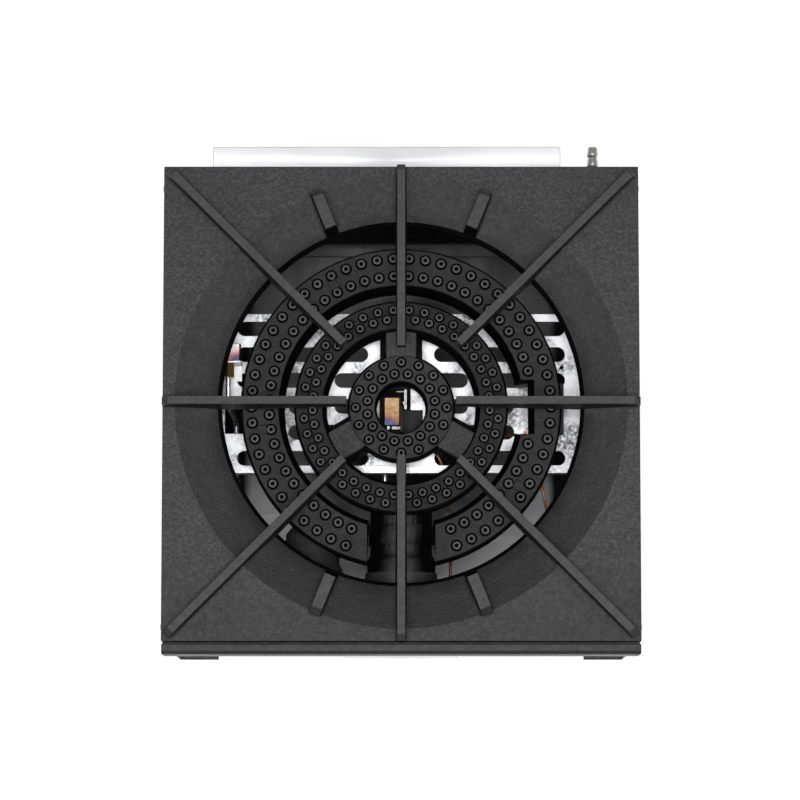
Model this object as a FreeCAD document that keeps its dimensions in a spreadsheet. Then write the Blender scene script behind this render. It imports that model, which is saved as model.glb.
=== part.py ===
import FreeCAD, Part
import math
import operator
import os
from types import SimpleNamespace

import Sketcher
from FreeCAD import Placement, Rotation, Vector

# A floor-standing gas stove for large pots: one cast pan stand over two concentric burners.
# +X is to the right, +Y to the rear and +Z up. The origin is on the floor, below the middle of the stove.
# Sizes are in millimetres, angles in degrees.

SIZES = {
    # Whole stove and its sheet metal
    "overall_height": 600.0,
    "body_bottom": 262.0,
    "sheet": 1.5,
    "top_flange": 22.0,
    "bottom_flange": 40.0,
    "slide_gap": 0.3,
    # Cast pan stand
    "grate_width": 457.0,
    "grate_height": 40.0,
    "rib_rise": 18.0,
    "plate_thickness": 7.0,
    "skirt_wall": 7.0,
    "dish_radius": 217.0,
    "dish_drop": 10.0,
    "hole_radius": 176.0,
    "rim_wall": 7.0,
    "rim_depth": 12.0,
    "rib_width": 7.4,
    "rib_draft": 0.06,
    "rib_tip_radius": 52.5,
    "diagonal_tip_radius": 78.0,
    "rib_tip_depth": 16.0,
    "rib_root_depth": 36.0,
    "rib_root_inset": 14.0,
    "rib_end_slope": 6.0,
    "diagonal_inset": 8.0,
    "stub_angle": 22.0,
    "stub_width": 10.5,
    "stub_inset": 4.0,
    "stub_length": 39.0,
    # Front rail
    "rail_depth": 10.0,
    "rail_gap": 2.5,
    "rail_height": 45.0,
    "rail_rise": 18.0,
    "rail_corner": 3.0,
    # Burners
    "burner_depth": 38.0,
    "burner_forward": 2.0,
    "cap_thickness": 6.0,
    "channel_height": 26.0,
    "channel_draft": 3.0,
    "foot_drop": 22.0,
    "foot_side": 14.0,
    "foot_radius": 135.0,
    "port_rise": 3.0,
    "port_depth": 2.6,
    "outer_ring_radius": 153.0,
    "outer_ring_bore": 118.0,
    "outer_gap": 65.0,
    "notch_length": 52.0,
    "notch_radius": 128.0,
    "lug_length": 48.0,
    "lug_reach": 4.0,
    "lug_drop": 5.0,
    "outer_row_radius": 144.1,
    "outer_row_pitch": 6.21,
    "inner_row_radius": 127.1,
    "inner_row_pitch": 6.45,
    "outer_port_width": 8.5,
    "outer_port_bore": 4.2,
    "middle_ring_radius": 101.5,
    "middle_ring_bore": 76.0,
    "middle_row_radius": 94.0,
    "middle_inner_row_radius": 85.3,
    "middle_port_width": 7.8,
    "middle_port_bore": 3.8,
    "centre_ring_radius": 50.2,
    "centre_ring_bore": 25.5,
    "centre_row_radius": 44.0,
    "centre_inner_row_radius": 33.1,
    "centre_port_width": 7.3,
    "centre_port_bore": 3.5,
    "centre_drop": 6.0,
    "spoke_width": 28.0,
    "spoke_base_width": 41.0,
    "spoke_drop": 9.0,
    # Mixing tubes
    "tube_drop": 50.0,
    "outer_tube_offset": 86.0,
    "outer_tube_radius": 26.0,
    "inner_tube_radius": 30.0,
    "collar_rise": 1.6,
    "mouth_rise": 3.0,
    "throat_radius": 15.0,
    "tube_wall": 5.0,
    "shutter_thickness": 1.5,
    "shutter_rim": 12.0,
    "shutter_bore": 9.0,
    # Burner support plate
    "support_front": 59.0,
    "support_rear": 98.0,
    "support_sheet": 2.0,
    "support_lip": 14.0,
    "slot_width": 14.0,
    "slot_pitch": 25.5,
    "slot_web": 65.0,
    "slot_split": 65.0,
    "slot_resume": 92.0,
    "slot_short_reach": 110.0,
    "slot_outer": 127.0,
    "slot_reach": 160.0,
    "plate_hole_radius": 1.6,
    "plate_hole_x": 157.0,
    "plate_hole_y": 45.0,
    "tube_well_reach": 172.0,
    "tube_well_inner": 138.0,
    "tube_well_front": 20.0,
    "tube_well_rear": 16.0,
    "pilot_well_left": 21.0,
    "pilot_well_right": 9.0,
    "pilot_well_front": 26.0,
    "pilot_well_rear": 30.0,
    "bracket_leg": 26.0,
    "bracket_sheet": 3.0,
    # Controls
    "panel_setback": 27.0,
    "control_height": 112.0,
    "valve_radius": 13.0,
    "valve_length": 22.0,
    "bonnet_radius": 9.0,
    "bonnet_length": 5.0,
    "valve_neck_radius": 7.5,
    "stem_radius": 4.0,
    "stem_depth": 11.0,
    "stem_fit": 0.06,
    "panel_hole_gap": 1.5,
    "dial_radius": 27.0,
    "dial_thickness": 1.0,
    "knob_gap": 1.2,
    "knob_radius": 21.5,
    "knob_skirt": 6.0,
    "knob_crown_radius": 17.5,
    "knob_height": 22.0,
    "knob_bevel": 1.6,
    "knob_grip": 11.0,
    "knob_socket": 13.0,
    "jet_hex": 7.0,
    "jet_hex_length": 6.0,
    "jet_nose_length": 12.0,
    "jet_nose_radius": 5.0,
    "jet_tip_radius": 2.6,
    "jet_entry": 4.0,
    # Gas pipe
    "pipe_radius": 10.65,
    "pipe_drop": 36.0,
    "pipe_bend": 32.0,
    "pipe_left": 150.0,
    "pipe_boss": 14.0,
    "plug_radius": 12.5,
    "plug_length": 14.0,
    "inlet_side": 190.0,
    "inlet_thread_radius": 8.0,
    "inlet_fit": 0.3,
    "inlet_hex": 12.0,
    "inlet_hex_length": 8.0,
    "inlet_nut_length": 7.0,
    "inlet_barb_radius": 5.6,
    "inlet_neck_radius": 4.6,
    "pilot_valve_radius": 6.0,
    "pilot_valve_height": 20.0,
    "pilot_valve_side": 42.0,
    "pilot_valve_outer_side": 132.0,
    # Pilots and flame sensors
    "outer_pilot_x": 168.0,
    "outer_pilot_y": 46.0,
    "outer_pilot_rise": 26.0,
    "outer_hood_length": 17.0,
    "centre_pilot_x": 9.0,
    "centre_pilot_y": 16.5,
    "centre_pilot_rise": 36.0,
    "centre_hood_length": 27.0,
    "hood_width": 17.0,
    "hood_height": 11.0,
    "hood_fold": 1.6,
    "hood_shift": 3.8,
    "hood_sheet": 0.8,
    "pilot_radius": 3.6,
    "pilot_hex": 5.6,
    "pilot_hex_length": 14.0,
    "pilot_nose": 9.0,
    "pilot_fit": 0.1,
    "pilot_gap": 3.0,
    "pilot_foot": 15.0,
    "centre_foot_reach": 21.5,
    "centre_foot_width": 25.0,
    "centre_foot_forward": 6.5,
    "tube_radius": 2.4,
    "tube_clearance": 0.6,
    "tube_bend": 8.4,
    "tube_dive": 6.0,
    "tube_under": 24.0,
    "tube_low": 35.0,
    "tube_run_side": 16.0,
    "tube_lead": 6.0,
    "sensor_radius": 1.6,
    "sensor_bend": 8.0,
    "sensor_under": 18.0,
    "sensor_slot_side": 38.0,
    "sensor_slot_front": 44.0,
    "sensor_side": 18.0,
    "sensor_tip_side": 120.0,
    "sensor_tip_rise": 46.0,
    "sensor_drop_side": 102.0,
    "sensor_drop_front": 20.0,
    "sensor_over": 9.0,
    "sensor_front_side": 137.0,
    "sensor_wide": 144.0,
    "sensor_wide_front": 40.0,
    "sensor_cross_side": 125.0,
    "sensor_cross_drop": 41.0,
    "sensor_rise": 27.0,
    # Body panels
    "louvre_length": 180.0,
    "louvre_height": 9.0,
    "louvre_pitch": 26.0,
    "louvre_rise": 62.0,
    "front_gap": 2.0,
    "standoff_width": 338.0,
    "standoff_shift": -14.0,
    "standoff_reach": 26.0,
    "standoff_height": 150.0,
    "standoff_depth": 55.0,
    "inlet_reach": 38.0,
    "baffle_gap": 32.5,
    "baffle_drop": 8.0,
    # Drip tray
    "tray_floor": 292.0,
    "tray_height": 26.0,
    "tray_sheet": 1.2,
    "tray_rim": 9.0,
    "tray_side_gap": 16.0,
    "tray_rear_gap": 5.0,
    "tray_face_height": 52.0,
    "tray_face_drop": 14.0,
    "tray_face_gap": 1.0,
    "runner_height": 22.0,
    "pull_width": 130.0,
    "pull_reach": 20.0,
    "pull_height": 12.0,
    "pull_strip": 3.0,
    # Legs and feet
    "leg_inset": 45.0,
    "leg_radius": 20.5,
    "leg_plate": 76.0,
    "leg_plate_thickness": 4.0,
    "leg_socket_depth": 52.0,
    "foot_stem_radius": 8.0,
    "foot_stem_length": 46.0,
    "foot_fit": 0.08,
    "foot_height": 30.0,
    "foot_pad_radius": 16.0,
    "foot_hex": 34.0,
    "foot_collar": 8.0,
}

PORT_SIDES = 6
OUTER_ROW_PORTS = 52
INNER_ROW_PORTS = 50
NOTCH_FIRST = 9
NOTCH_PORTS = 4
MIDDLE_ROW_PORTS = 39
CENTRE_ROW_PORTS = 16
SPOKES = 3
SHUTTER_WINDOWS = 4
LOUVRES = 3
BARBS = 3
TUBE_SIDES = 10
BEND_STEPS = 4
OUTER_FOOT_ANGLES = (-19.0, 34.0, 146.0, 199.0)
FRONT = 270.0
BACK = 90.0
FACING_FRONT = Rotation(Vector(1, 0, 0), 90)

# Steps along a mixing tube, as parts of its length from the mouth, and its nose as parts of its radius
FLARE_END = 0.25
FLARE_START = 0.32
COLLAR_FRONT = 0.42
THROAT_FRONT = 0.45
BORE_END = 0.6
COLLAR_REAR = 0.62
NOSE_RADIUS = 0.55
NOSE_LENGTH = 0.6

# Other proportions of turned and pressed pieces
WINDOW_SIDE = 0.3
BARB_FRONT = 0.15
BARB_REAR = 0.4
SHOULDER_HEIGHT = 0.7
NECK_RADIUS = 0.6
PORT_HEIGHT = 0.35

OPERATIONS = {"+": operator.add, "-": operator.sub, "*": operator.mul, "/": operator.truediv}


class Size:
    """A number together with the sheet expression that gives it."""

    def __init__(self, value, text):
        self.value = value
        self.text = text

    def __add__(self, other):
        return combine(self, "+", other)

    def __radd__(self, other):
        return combine(other, "+", self)

    def __sub__(self, other):
        return combine(self, "-", other)

    def __rsub__(self, other):
        return combine(other, "-", self)

    def __mul__(self, other):
        return combine(self, "*", other)

    def __rmul__(self, other):
        return combine(other, "*", self)

    def __truediv__(self, other):
        return combine(self, "/", other)

    def __neg__(self):
        return combine(0.0, "-", self)


def as_size(number):
    if isinstance(number, Size):
        return number
    return Size(float(number), f"({float(number):.9f})")


def combine(left, sign, right):
    left = as_size(left)
    right = as_size(right)
    return Size(OPERATIONS[sign](left.value, right.value), f"({left.text} {sign} {right.text})")


def third_side(longest, side):
    """The other short side of a right-angled triangle."""
    value = math.sqrt(longest.value ** 2 - side.value ** 2)
    return Size(value, f"sqrt({longest.text} ^ 2 - {side.text} ^ 2)")


doc = FreeCAD.newDocument("gas_stove")
sheet = doc.addObject("Spreadsheet::Sheet", "Sizes")
for row, (alias, number) in enumerate(SIZES.items(), start=1):
    sheet.set(f"A{row}", alias)
    sheet.set(f"B{row}", str(number))
    sheet.setAlias(f"B{row}", alias)
doc.recompute()
d = SimpleNamespace(**{alias: Size(float(sheet.get(alias)), f"Sizes.{alias}") for alias in SIZES})
pieces = []

# Places that several sub-parts share
half_width = d.grate_width / 2
inner_half = half_width - d.sheet
grate_y = (d.rail_depth + d.rail_gap - d.inlet_reach) / 2
rail_back = grate_y - half_width - d.rail_gap
rail_front = rail_back - d.rail_depth
rear_y = grate_y + half_width
seat_z = d.overall_height - d.grate_height
rail_top = seat_z + d.rail_rise
panel_front = rail_front + d.panel_setback
panel_back = panel_front + d.sheet
panel_top = seat_z - d.sheet
burner_y = grate_y - d.burner_forward
cap_top = d.overall_height - d.burner_depth - d.port_rise
cap_bottom = cap_top - d.cap_thickness
tube_z = d.overall_height - d.burner_depth - d.tube_drop
support_top = cap_bottom - d.channel_height - d.foot_drop
valve_y = panel_back + d.bonnet_length
jet_y = valve_y + d.valve_length
mouth_y = jet_y + d.jet_hex_length + d.jet_nose_length - d.jet_entry
pipe_y = valve_y + d.valve_length / 2
pipe_z = tube_z - d.pipe_drop
boss_z = pipe_z + d.pipe_boss
baffle_y = rear_y - d.baffle_gap
tray_rear = baffle_y - d.tray_rear_gap
tray_half = inner_half - d.tray_side_gap
tray_top = d.tray_floor + d.tray_height
face_top = d.tray_floor - d.tray_face_drop + d.tray_face_height


def bind(target, sizes):
    for name, size in sizes.items():
        target.setExpression(name, as_size(size).text)


def new_body(label):
    body = doc.addObject("PartDesign::Body", label)
    body.Label = label
    pieces.append(body)
    return body


def place(piece, x, y, z, rotation=None):
    if rotation:
        piece.Placement = Placement(Vector(), rotation)
    bind(piece, {"Placement.Base.x": x, "Placement.Base.y": y, "Placement.Base.z": z})


def origin(body, role):
    return next(feature for feature in body.Origin.OriginFeatures if feature.Role == role)


def sketch_on(body, role, across=0.0, up=0.0, out=0.0, turn=0.0):
    """A sketch on an origin plane, moved along the plane's own axes and turned about its upright."""
    sketch = body.newObject("Sketcher::SketchObject", "outline")
    sketch.AttachmentSupport = [(origin(body, role), "")]
    sketch.MapMode = "FlatFace"
    sketch.AttachmentOffset = Placement(Vector(), Rotation(Vector(0, 1, 0), turn))
    names = ("AttachmentOffset.Base.x", "AttachmentOffset.Base.y", "AttachmentOffset.Base.z")
    bind(sketch, dict(zip(names, (across, up, out))))
    return sketch


def constrain(sketch, *rows):
    """Constraints added together. Each row is a kind and its values, the last of which may be a size."""
    first = sketch.ConstraintCount
    built = []
    for kind, *values in rows:
        plain = [value.value if isinstance(value, Size) else value for value in values]
        built.append(Sketcher.Constraint(kind, *plain))
    sketch.addConstraint(built)
    for index, row in enumerate(rows, start=first):
        if isinstance(row[-1], Size):
            sketch.setExpression(f"Constraints[{index}]", row[-1].text)


def point_at(geometry, end, x, y):
    """The two constraints that hold a point at a place in its sketch."""
    across = ("DistanceX", -1, 1, geometry, end, as_size(x))
    along = ("DistanceY", -1, 1, geometry, end, as_size(y))
    return across, along


def draw_polygon(sketch, points):
    corners = [(as_size(x), as_size(y)) for x, y in points]
    vectors = [Vector(x.value, y.value, 0) for x, y in corners]
    first = sketch.GeometryCount
    rows = []
    for index, (x, y) in enumerate(corners):
        after = (index + 1) % len(corners)
        sketch.addGeometry(Part.LineSegment(vectors[index], vectors[after]), False)
        rows.append(("Coincident", first + index, 2, first + after, 1))
        rows.extend(point_at(first + index, 1, x, y))
    constrain(sketch, *rows)


def draw_box(sketch, left, right, low, high):
    draw_polygon(sketch, [(left, low), (right, low), (right, high), (left, high)])


def draw_regular(sketch, sides, across_flats, x=0.0, y=0.0, start=0.0):
    radius = across_flats / 2 / math.cos(math.pi / sides)
    turns = [math.radians(start) + math.pi * (2 * index + 1) / sides for index in range(sides)]
    draw_polygon(sketch, [(x + radius * math.cos(turn), y + radius * math.sin(turn)) for turn in turns])


def draw_circle(sketch, radius, x=0.0, y=0.0):
    radius = as_size(radius)
    centre = Vector(as_size(x).value, as_size(y).value, 0)
    index = sketch.addGeometry(Part.Circle(centre, Vector(0, 0, 1), radius.value), False)
    constrain(sketch, *point_at(index, 3, x, y), ("Radius", index, radius))


def draw_slot(sketch, left, right, middle, width):
    """A slot along the sketch's X axis, from end to end, with half-round ends."""
    radius = width / 2
    centres = [as_size(left) + radius, as_size(right) - radius]
    middle = as_size(middle)
    ends = [Vector(centre.value, middle.value, 0) for centre in centres]
    side = Vector(0, radius.value, 0)
    first = sketch.addGeometry(Part.LineSegment(ends[0] - side, ends[1] - side), False)
    for end, begin in ((ends[1], -0.5 * math.pi), (ends[0], 0.5 * math.pi)):
        arc = Part.ArcOfCircle(Part.Circle(end, Vector(0, 0, 1), radius.value), begin, begin + math.pi)
        index = sketch.addGeometry(arc, False)
        if index == first + 1:
            sketch.addGeometry(Part.LineSegment(ends[1] + side, ends[0] + side), False)
    rows = [("Tangent", first + index, 2, first + (index + 1) % 4, 1) for index in range(4)]
    rows.extend(point_at(first + 1, 3, centres[1], middle))
    rows.extend(point_at(first + 3, 3, centres[0], middle))
    rows.append(("Equal", first + 1, first + 3))
    rows.append(("Radius", first + 1, radius))
    constrain(sketch, *rows)


def pad(body, sketch, length, symmetric=False, backwards=False):
    feature = body.newObject("PartDesign::Pad", "pad")
    feature.Profile = sketch
    feature.Reversed = backwards
    if symmetric:
        feature.SideType = "Symmetric"
    bind(feature, {"Length": length})
    return feature


def pocket(body, sketch, depth=None, upwards=False):
    """A cut of a given depth, or right through to both sides."""
    feature = body.newObject("PartDesign::Pocket", "pocket")
    feature.Profile = sketch
    feature.Reversed = upwards
    if depth is None:
        feature.Type = "ThroughAll"
        feature.SideType = "Symmetric"
    else:
        bind(feature, {"Length": depth})
    return feature


def revolve(body, points, role="XZ_Plane", axis="V_Axis", **offsets):
    sketch = sketch_on(body, role, **offsets)
    draw_polygon(sketch, points)
    feature = body.newObject("PartDesign::Revolution", "revolution")
    feature.Profile = sketch
    feature.ReferenceAxis = (sketch, [axis])
    feature.Angle = 360
    return feature


def loft(body, sections, cut=False):
    kind = "PartDesign::SubtractiveLoft" if cut else "PartDesign::AdditiveLoft"
    feature = body.newObject(kind, "loft")
    feature.Profile = sections[0]
    feature.Sections = sections[1:]
    feature.Ruled = True
    return feature


def repeat(body, features, count, angle=360.0):
    pattern = body.newObject("PartDesign::PolarPattern", "pattern")
    pattern.Originals = features
    pattern.Axis = (origin(body, "Z_Axis"), [""])
    pattern.Angle = angle
    pattern.Occurrences = count
    pattern.Refine = False
    body.Tip = pattern


def top_grate():
    """One casting: square plate with a skirt, a dished rim and ribs that carry the pan."""
    body = new_body("top_grate")
    place(body, 0, grate_y, seat_z)
    rib_top = d.grate_height
    plate_top = rib_top - d.rib_rise
    plate_bottom = plate_top - d.plate_thickness
    dish_low = plate_top - d.dish_drop

    plate = sketch_on(body, "XY_Plane", out=plate_bottom)
    draw_box(plate, -half_width, half_width, -half_width, half_width)
    draw_circle(plate, d.dish_radius)
    pad(body, plate, d.plate_thickness)
    skirt = sketch_on(body, "XY_Plane")
    draw_box(skirt, -half_width, half_width, -half_width, half_width)
    inside = half_width - d.skirt_wall
    draw_box(skirt, -inside, inside, -inside, inside)
    pad(body, skirt, plate_bottom)
    rim_outside = d.hole_radius + d.rim_wall
    revolve(body, [
        (d.dish_radius, plate_top),
        (d.hole_radius, dish_low),
        (d.hole_radius, dish_low - d.rim_depth),
        (rim_outside, dish_low - d.rim_depth),
        (rim_outside, dish_low - d.plate_thickness),
        (d.dish_radius, plate_bottom),
    ])

    def rib(stations, width, turn):
        sections = []
        for along, top, depth in stations:
            sine = math.sin(math.radians(turn))
            cosine = math.cos(math.radians(turn))
            section = sketch_on(body, "YZ_Plane", across=along * sine, out=along * cosine, turn=turn)
            foot = width / 2 + depth * d.rib_draft
            bottom = rib_top - depth
            draw_polygon(section, [(-foot, bottom), (foot, bottom), (width / 2, top), (-width / 2, top)])
            sections.append(section)
        return loft(body, sections)

    root = d.hole_radius + d.rib_root_inset
    slope = d.rib_end_slope
    diagonal_end = half_width * math.sqrt(2) - d.diagonal_inset
    for tip, end, turn in ((d.rib_tip_radius, half_width, 0.0), (d.diagonal_tip_radius, diagonal_end, 45.0)):
        stations = [
            (tip, rib_top, d.rib_tip_depth),
            (root, rib_top, d.rib_root_depth),
            (end - slope, rib_top, d.rib_root_depth),
            (end, rib_top - slope, d.rib_root_depth),
        ]
        repeat(body, [rib(stations, d.rib_width, turn)], 4)
    stub_start = d.hole_radius + d.stub_inset
    stub_end = stub_start + d.stub_length
    stub_depth = d.rib_rise + d.dish_drop + d.plate_thickness / 2
    stations = [
        (stub_start, rib_top, stub_depth),
        (stub_end - slope, rib_top, d.rib_rise + d.plate_thickness / 2),
        (stub_end, rib_top - slope, d.rib_rise + d.plate_thickness / 2),
    ]
    for side in (-1, 1):
        repeat(body, [rib(stations, d.stub_width, BACK + side * d.stub_angle.value)], 2)


def ports(body, count, row_radius, width, bore, first, span):
    """A row of raised drilled gas ports on top of a port plate."""
    x = row_radius * math.cos(math.radians(first))
    y = row_radius * math.sin(math.radians(first))
    boss = sketch_on(body, "XY_Plane", out=d.cap_thickness)
    draw_regular(boss, PORT_SIDES, width, x, y, first)
    boss_top = d.cap_thickness + d.port_rise
    raised = pad(body, boss, d.port_rise)
    raised.Refine = False
    mouth = sketch_on(body, "XY_Plane", out=boss_top)
    draw_regular(mouth, PORT_SIDES, bore, x, y, first)
    tip = sketch_on(body, "XY_Plane", out=boss_top - d.port_depth)
    tip.addGeometry(Part.Point(Vector(x.value, y.value, 0)), False)
    constrain(tip, *point_at(0, 1, x, y))
    drilled = loft(body, [mouth, tip], cut=True)
    drilled.Refine = False
    repeat(body, [raised, drilled], count, span)


def ring_plate(body, outside, bore):
    plate = sketch_on(body, "XY_Plane")
    draw_circle(plate, outside)
    draw_circle(plate, bore)
    pad(body, plate, d.cap_thickness)


def cut_outer_ring(body):
    """The gap that lets the inner mixing tube through, and the notch in the right-hand side."""
    gap = sketch_on(body, "XY_Plane")
    draw_box(gap, -d.outer_gap / 2, d.outer_gap / 2, -2 * d.outer_ring_radius, 0)
    pocket(body, gap)
    notch = sketch_on(body, "XY_Plane")
    draw_box(notch, 0, d.notch_radius, -d.notch_length / 2, d.notch_length / 2)
    pocket(body, notch)


def outer_burner_cap():
    body = new_body("outer_burner_cap")
    place(body, 0, burner_y, cap_bottom)
    ring_plate(body, d.outer_ring_radius, d.outer_ring_bore)
    cut_outer_ring(body)
    width = d.outer_port_width
    bore = d.outer_port_bore
    span = d.outer_row_pitch.value * (OUTER_ROW_PORTS - 1)
    first = FRONT + (360 - span) / 2
    ports(body, OUTER_ROW_PORTS, d.outer_row_radius, width, bore, first, span)
    pitch = d.inner_row_pitch.value
    first = FRONT + (360 - pitch * (INNER_ROW_PORTS - 1)) / 2
    after = NOTCH_FIRST + NOTCH_PORTS
    runs = ((0, NOTCH_FIRST), (after, INNER_ROW_PORTS - after))
    for skipped, count in runs:
        start = first + pitch * skipped
        ports(body, count, d.inner_row_radius, width, bore, start, pitch * (count - 1))


def channel(body, outside, bore, top):
    """A ring-shaped gas channel with drafted walls, closed by its port plate."""
    draft = d.channel_draft
    low = top - d.channel_height
    revolve(body, [(bore, top), (outside, top), (outside - draft, low), (bore + draft, low)])


def mixing_tube(body, x, radius, inner_end):
    """A cast tube along Y with collars, a flared mouth and a tapered bore."""
    mouth = mouth_y - burner_y
    flare = radius + d.mouth_rise
    collar = radius + d.collar_rise
    length = inner_end - mouth
    points = [
        (inner_end, 0),
        (inner_end, radius * NOSE_RADIUS),
        (inner_end - radius * NOSE_LENGTH, radius),
        (mouth + length * COLLAR_REAR, radius),
        (mouth + length * COLLAR_REAR, collar),
        (mouth + length * COLLAR_FRONT, collar),
        (mouth + length * COLLAR_FRONT, radius),
        (mouth + length * FLARE_START, radius),
        (mouth + length * FLARE_END, flare),
        (mouth, flare),
        (mouth, flare - d.tube_wall),
        (mouth + length * THROAT_FRONT, d.throat_radius),
        (mouth + length * BORE_END, d.throat_radius),
        (mouth + length * BORE_END, 0),
    ]
    return revolve(body, points, "YZ_Plane", "H_Axis", up=tube_z - cap_bottom, out=x)


def feet_pads(body, places, top):
    """Square cast feet below a ring, standing on the support plate."""
    feet = sketch_on(body, "XY_Plane", out=top - d.channel_height)
    side = d.foot_side / 2
    for x, y in places:
        draw_box(feet, x - side, x + side, y - side, y + side)
    pad(body, feet, d.foot_drop, backwards=True)


def outer_burner_base():
    body = new_body("outer_burner_base")
    place(body, 0, burner_y, cap_bottom)
    channel(body, d.outer_ring_radius, d.outer_ring_bore, as_size(0.0))
    lug = sketch_on(body, "XY_Plane", out=-d.lug_drop)
    wall = d.channel_draft * 4
    reach = d.outer_ring_radius + d.lug_reach
    draw_box(lug, d.outer_ring_radius - wall, reach, -d.lug_length / 2, d.lug_length / 2)
    pad(body, lug, d.channel_height - d.lug_drop, backwards=True)
    cut_outer_ring(body)
    middle = (d.outer_ring_radius + d.outer_ring_bore) / 2
    tube_end = -third_side(middle, d.outer_tube_offset)
    mixing_tube(body, -d.outer_tube_offset, d.outer_tube_radius, tube_end)
    places = []
    for angle in OUTER_FOOT_ANGLES:
        turn = math.radians(angle)
        places.append((d.foot_radius * math.cos(turn), d.foot_radius * math.sin(turn)))
    feet_pads(body, places, as_size(0.0))


def inner_burner_base():
    """Middle and centre ring channels joined by three spokes, with the tube that feeds them."""
    body = new_body("inner_burner_base")
    place(body, 0, burner_y, cap_bottom)
    channel(body, d.middle_ring_radius, d.middle_ring_bore, as_size(0.0))
    low = -d.channel_height
    top = -d.centre_drop
    draft = d.channel_draft
    stations = (
        (d.centre_ring_radius - draft, top),
        (d.centre_ring_radius + d.slide_gap, top),
        (d.middle_ring_bore + draft * 2, d.cap_thickness - d.spoke_drop),
    )
    half_base = d.spoke_base_width / 2
    half_top = d.spoke_width / 2
    sections = []
    for along, high in stations:
        section = sketch_on(body, "XZ_Plane", out=-along)
        draw_polygon(section, [
            (-half_base, low),
            (half_base, low),
            (half_top, high),
            (-half_top, high),
        ])
        sections.append(section)
    repeat(body, [loft(body, sections)], SPOKES)
    revolve(body, [
        (d.centre_ring_bore, top),
        (d.centre_ring_radius, top),
        (d.centre_ring_radius - draft, low),
        (d.centre_ring_bore + draft, low),
    ])
    mixing_tube(body, 0.0, d.inner_tube_radius, -d.middle_ring_bore)
    radius = (d.middle_ring_radius + d.middle_ring_bore) / 2
    turns = [math.radians(BACK + 360 / SPOKES * index) for index in range(SPOKES)]
    feet_pads(body, [(radius * math.cos(turn), radius * math.sin(turn)) for turn in turns], as_size(0.0))


def inner_burner_caps():
    middle = new_body("middle_burner_cap")
    place(middle, 0, burner_y, cap_bottom)
    ring_plate(middle, d.middle_ring_radius, d.middle_ring_bore)
    span = 360.0
    for radius, first in ((d.middle_row_radius, FRONT), (d.middle_inner_row_radius, BACK)):
        ports(middle, MIDDLE_ROW_PORTS, radius, d.middle_port_width, d.middle_port_bore, first, span)
    centre = new_body("centre_burner_cap")
    place(centre, 0, burner_y, cap_bottom - d.centre_drop)
    ring_plate(centre, d.centre_ring_radius, d.centre_ring_bore)
    half_pitch = 180 / CENTRE_ROW_PORTS
    rows = ((d.centre_row_radius, BACK), (d.centre_inner_row_radius, BACK + half_pitch))
    for radius, first in rows:
        ports(centre, CENTRE_ROW_PORTS, radius, d.centre_port_width, d.centre_port_bore, first, span)


def air_shutter(label, x, radius):
    """A cup over the mouth of a mixing tube, turned to open or close its air windows."""
    body = new_body(label)
    place(body, x, mouth_y - d.slide_gap, tube_z, FACING_FRONT)
    inside = radius + d.mouth_rise + d.slide_gap
    outside = inside + d.shutter_thickness
    revolve(body, [
        (d.shutter_bore, 0),
        (inside, 0),
        (inside, -d.shutter_rim),
        (outside, -d.shutter_rim),
        (outside, d.shutter_thickness),
        (d.shutter_bore, d.shutter_thickness),
    ])
    window = sketch_on(body, "XY_Plane")
    middle = (d.shutter_bore + inside) / 2
    side = (inside - d.shutter_bore) * WINDOW_SIDE
    draw_box(window, middle - side, middle + side, -side, side)
    repeat(body, [pocket(body, window)], SHUTTER_WINDOWS)


def burner_support():
    """Bright folded plate with rows of slots, and two wells that the pilots' tubes go down through."""
    body = new_body("burner_support")
    place(body, 0, burner_y, support_top)
    front = -d.support_front
    rear = d.support_rear
    thick = d.support_sheet
    low = -d.support_lip
    section = sketch_on(body, "YZ_Plane")
    draw_polygon(section, [
        (front, low),
        (front + thick, low),
        (front + thick, -thick),
        (rear - thick, -thick),
        (rear - thick, low),
        (rear, low),
        (rear, 0),
        (front, 0),
    ])
    pad(body, section, 2 * (inner_half - d.bracket_sheet), symmetric=True)
    web = d.slot_web / 2
    rows_from_front = (
        [(web, d.slot_reach)],
        [(web, d.slot_short_reach)],
        [(web, d.slot_split), (d.slot_resume, d.slot_short_reach)],
        [(web, d.slot_split), (d.slot_resume, d.slot_reach)],
        [(web, d.slot_reach)],
        [(web, d.slot_split), (d.slot_outer, d.slot_reach)],
    )
    slots = sketch_on(body, "XY_Plane")
    first_row = (rear + front) / 2 - d.slot_pitch * (len(rows_from_front) - 1) / 2
    for index, runs in enumerate(rows_from_front):
        middle = first_row + d.slot_pitch * index
        for inner, outer in runs:
            draw_slot(slots, inner, outer, middle, d.slot_width)
            draw_slot(slots, -outer, -inner, middle, d.slot_width)
    for side in (-1, 1):
        draw_circle(slots, d.plate_hole_radius, side * d.plate_hole_x, d.plate_hole_y)
    pocket(body, slots)
    wells = sketch_on(body, "XY_Plane")
    draw_box(wells, -d.tube_well_reach, -d.tube_well_inner, -d.tube_well_front, d.tube_well_rear)
    draw_box(wells, -d.pilot_well_left, d.pilot_well_right, -d.pilot_well_front, d.pilot_well_rear)
    pocket(body, wells)


def support_brackets():
    for side, name in ((-1, "left"), (1, "right")):
        body = new_body(f"support_bracket_{name}")
        place(body, side * inner_half, burner_y, support_top - d.support_sheet)
        section = sketch_on(body, "XZ_Plane")
        leg = d.bracket_leg
        thick = d.bracket_sheet
        draw_polygon(section, [
            (0, -leg),
            (-side * thick, -leg),
            (-side * thick, -thick),
            (-side * leg, -thick),
            (-side * leg, 0),
            (-side * thick, 0),
            (-side * thick, leg),
            (0, leg),
        ])
        pad(body, section, d.support_rear, symmetric=True)


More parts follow.
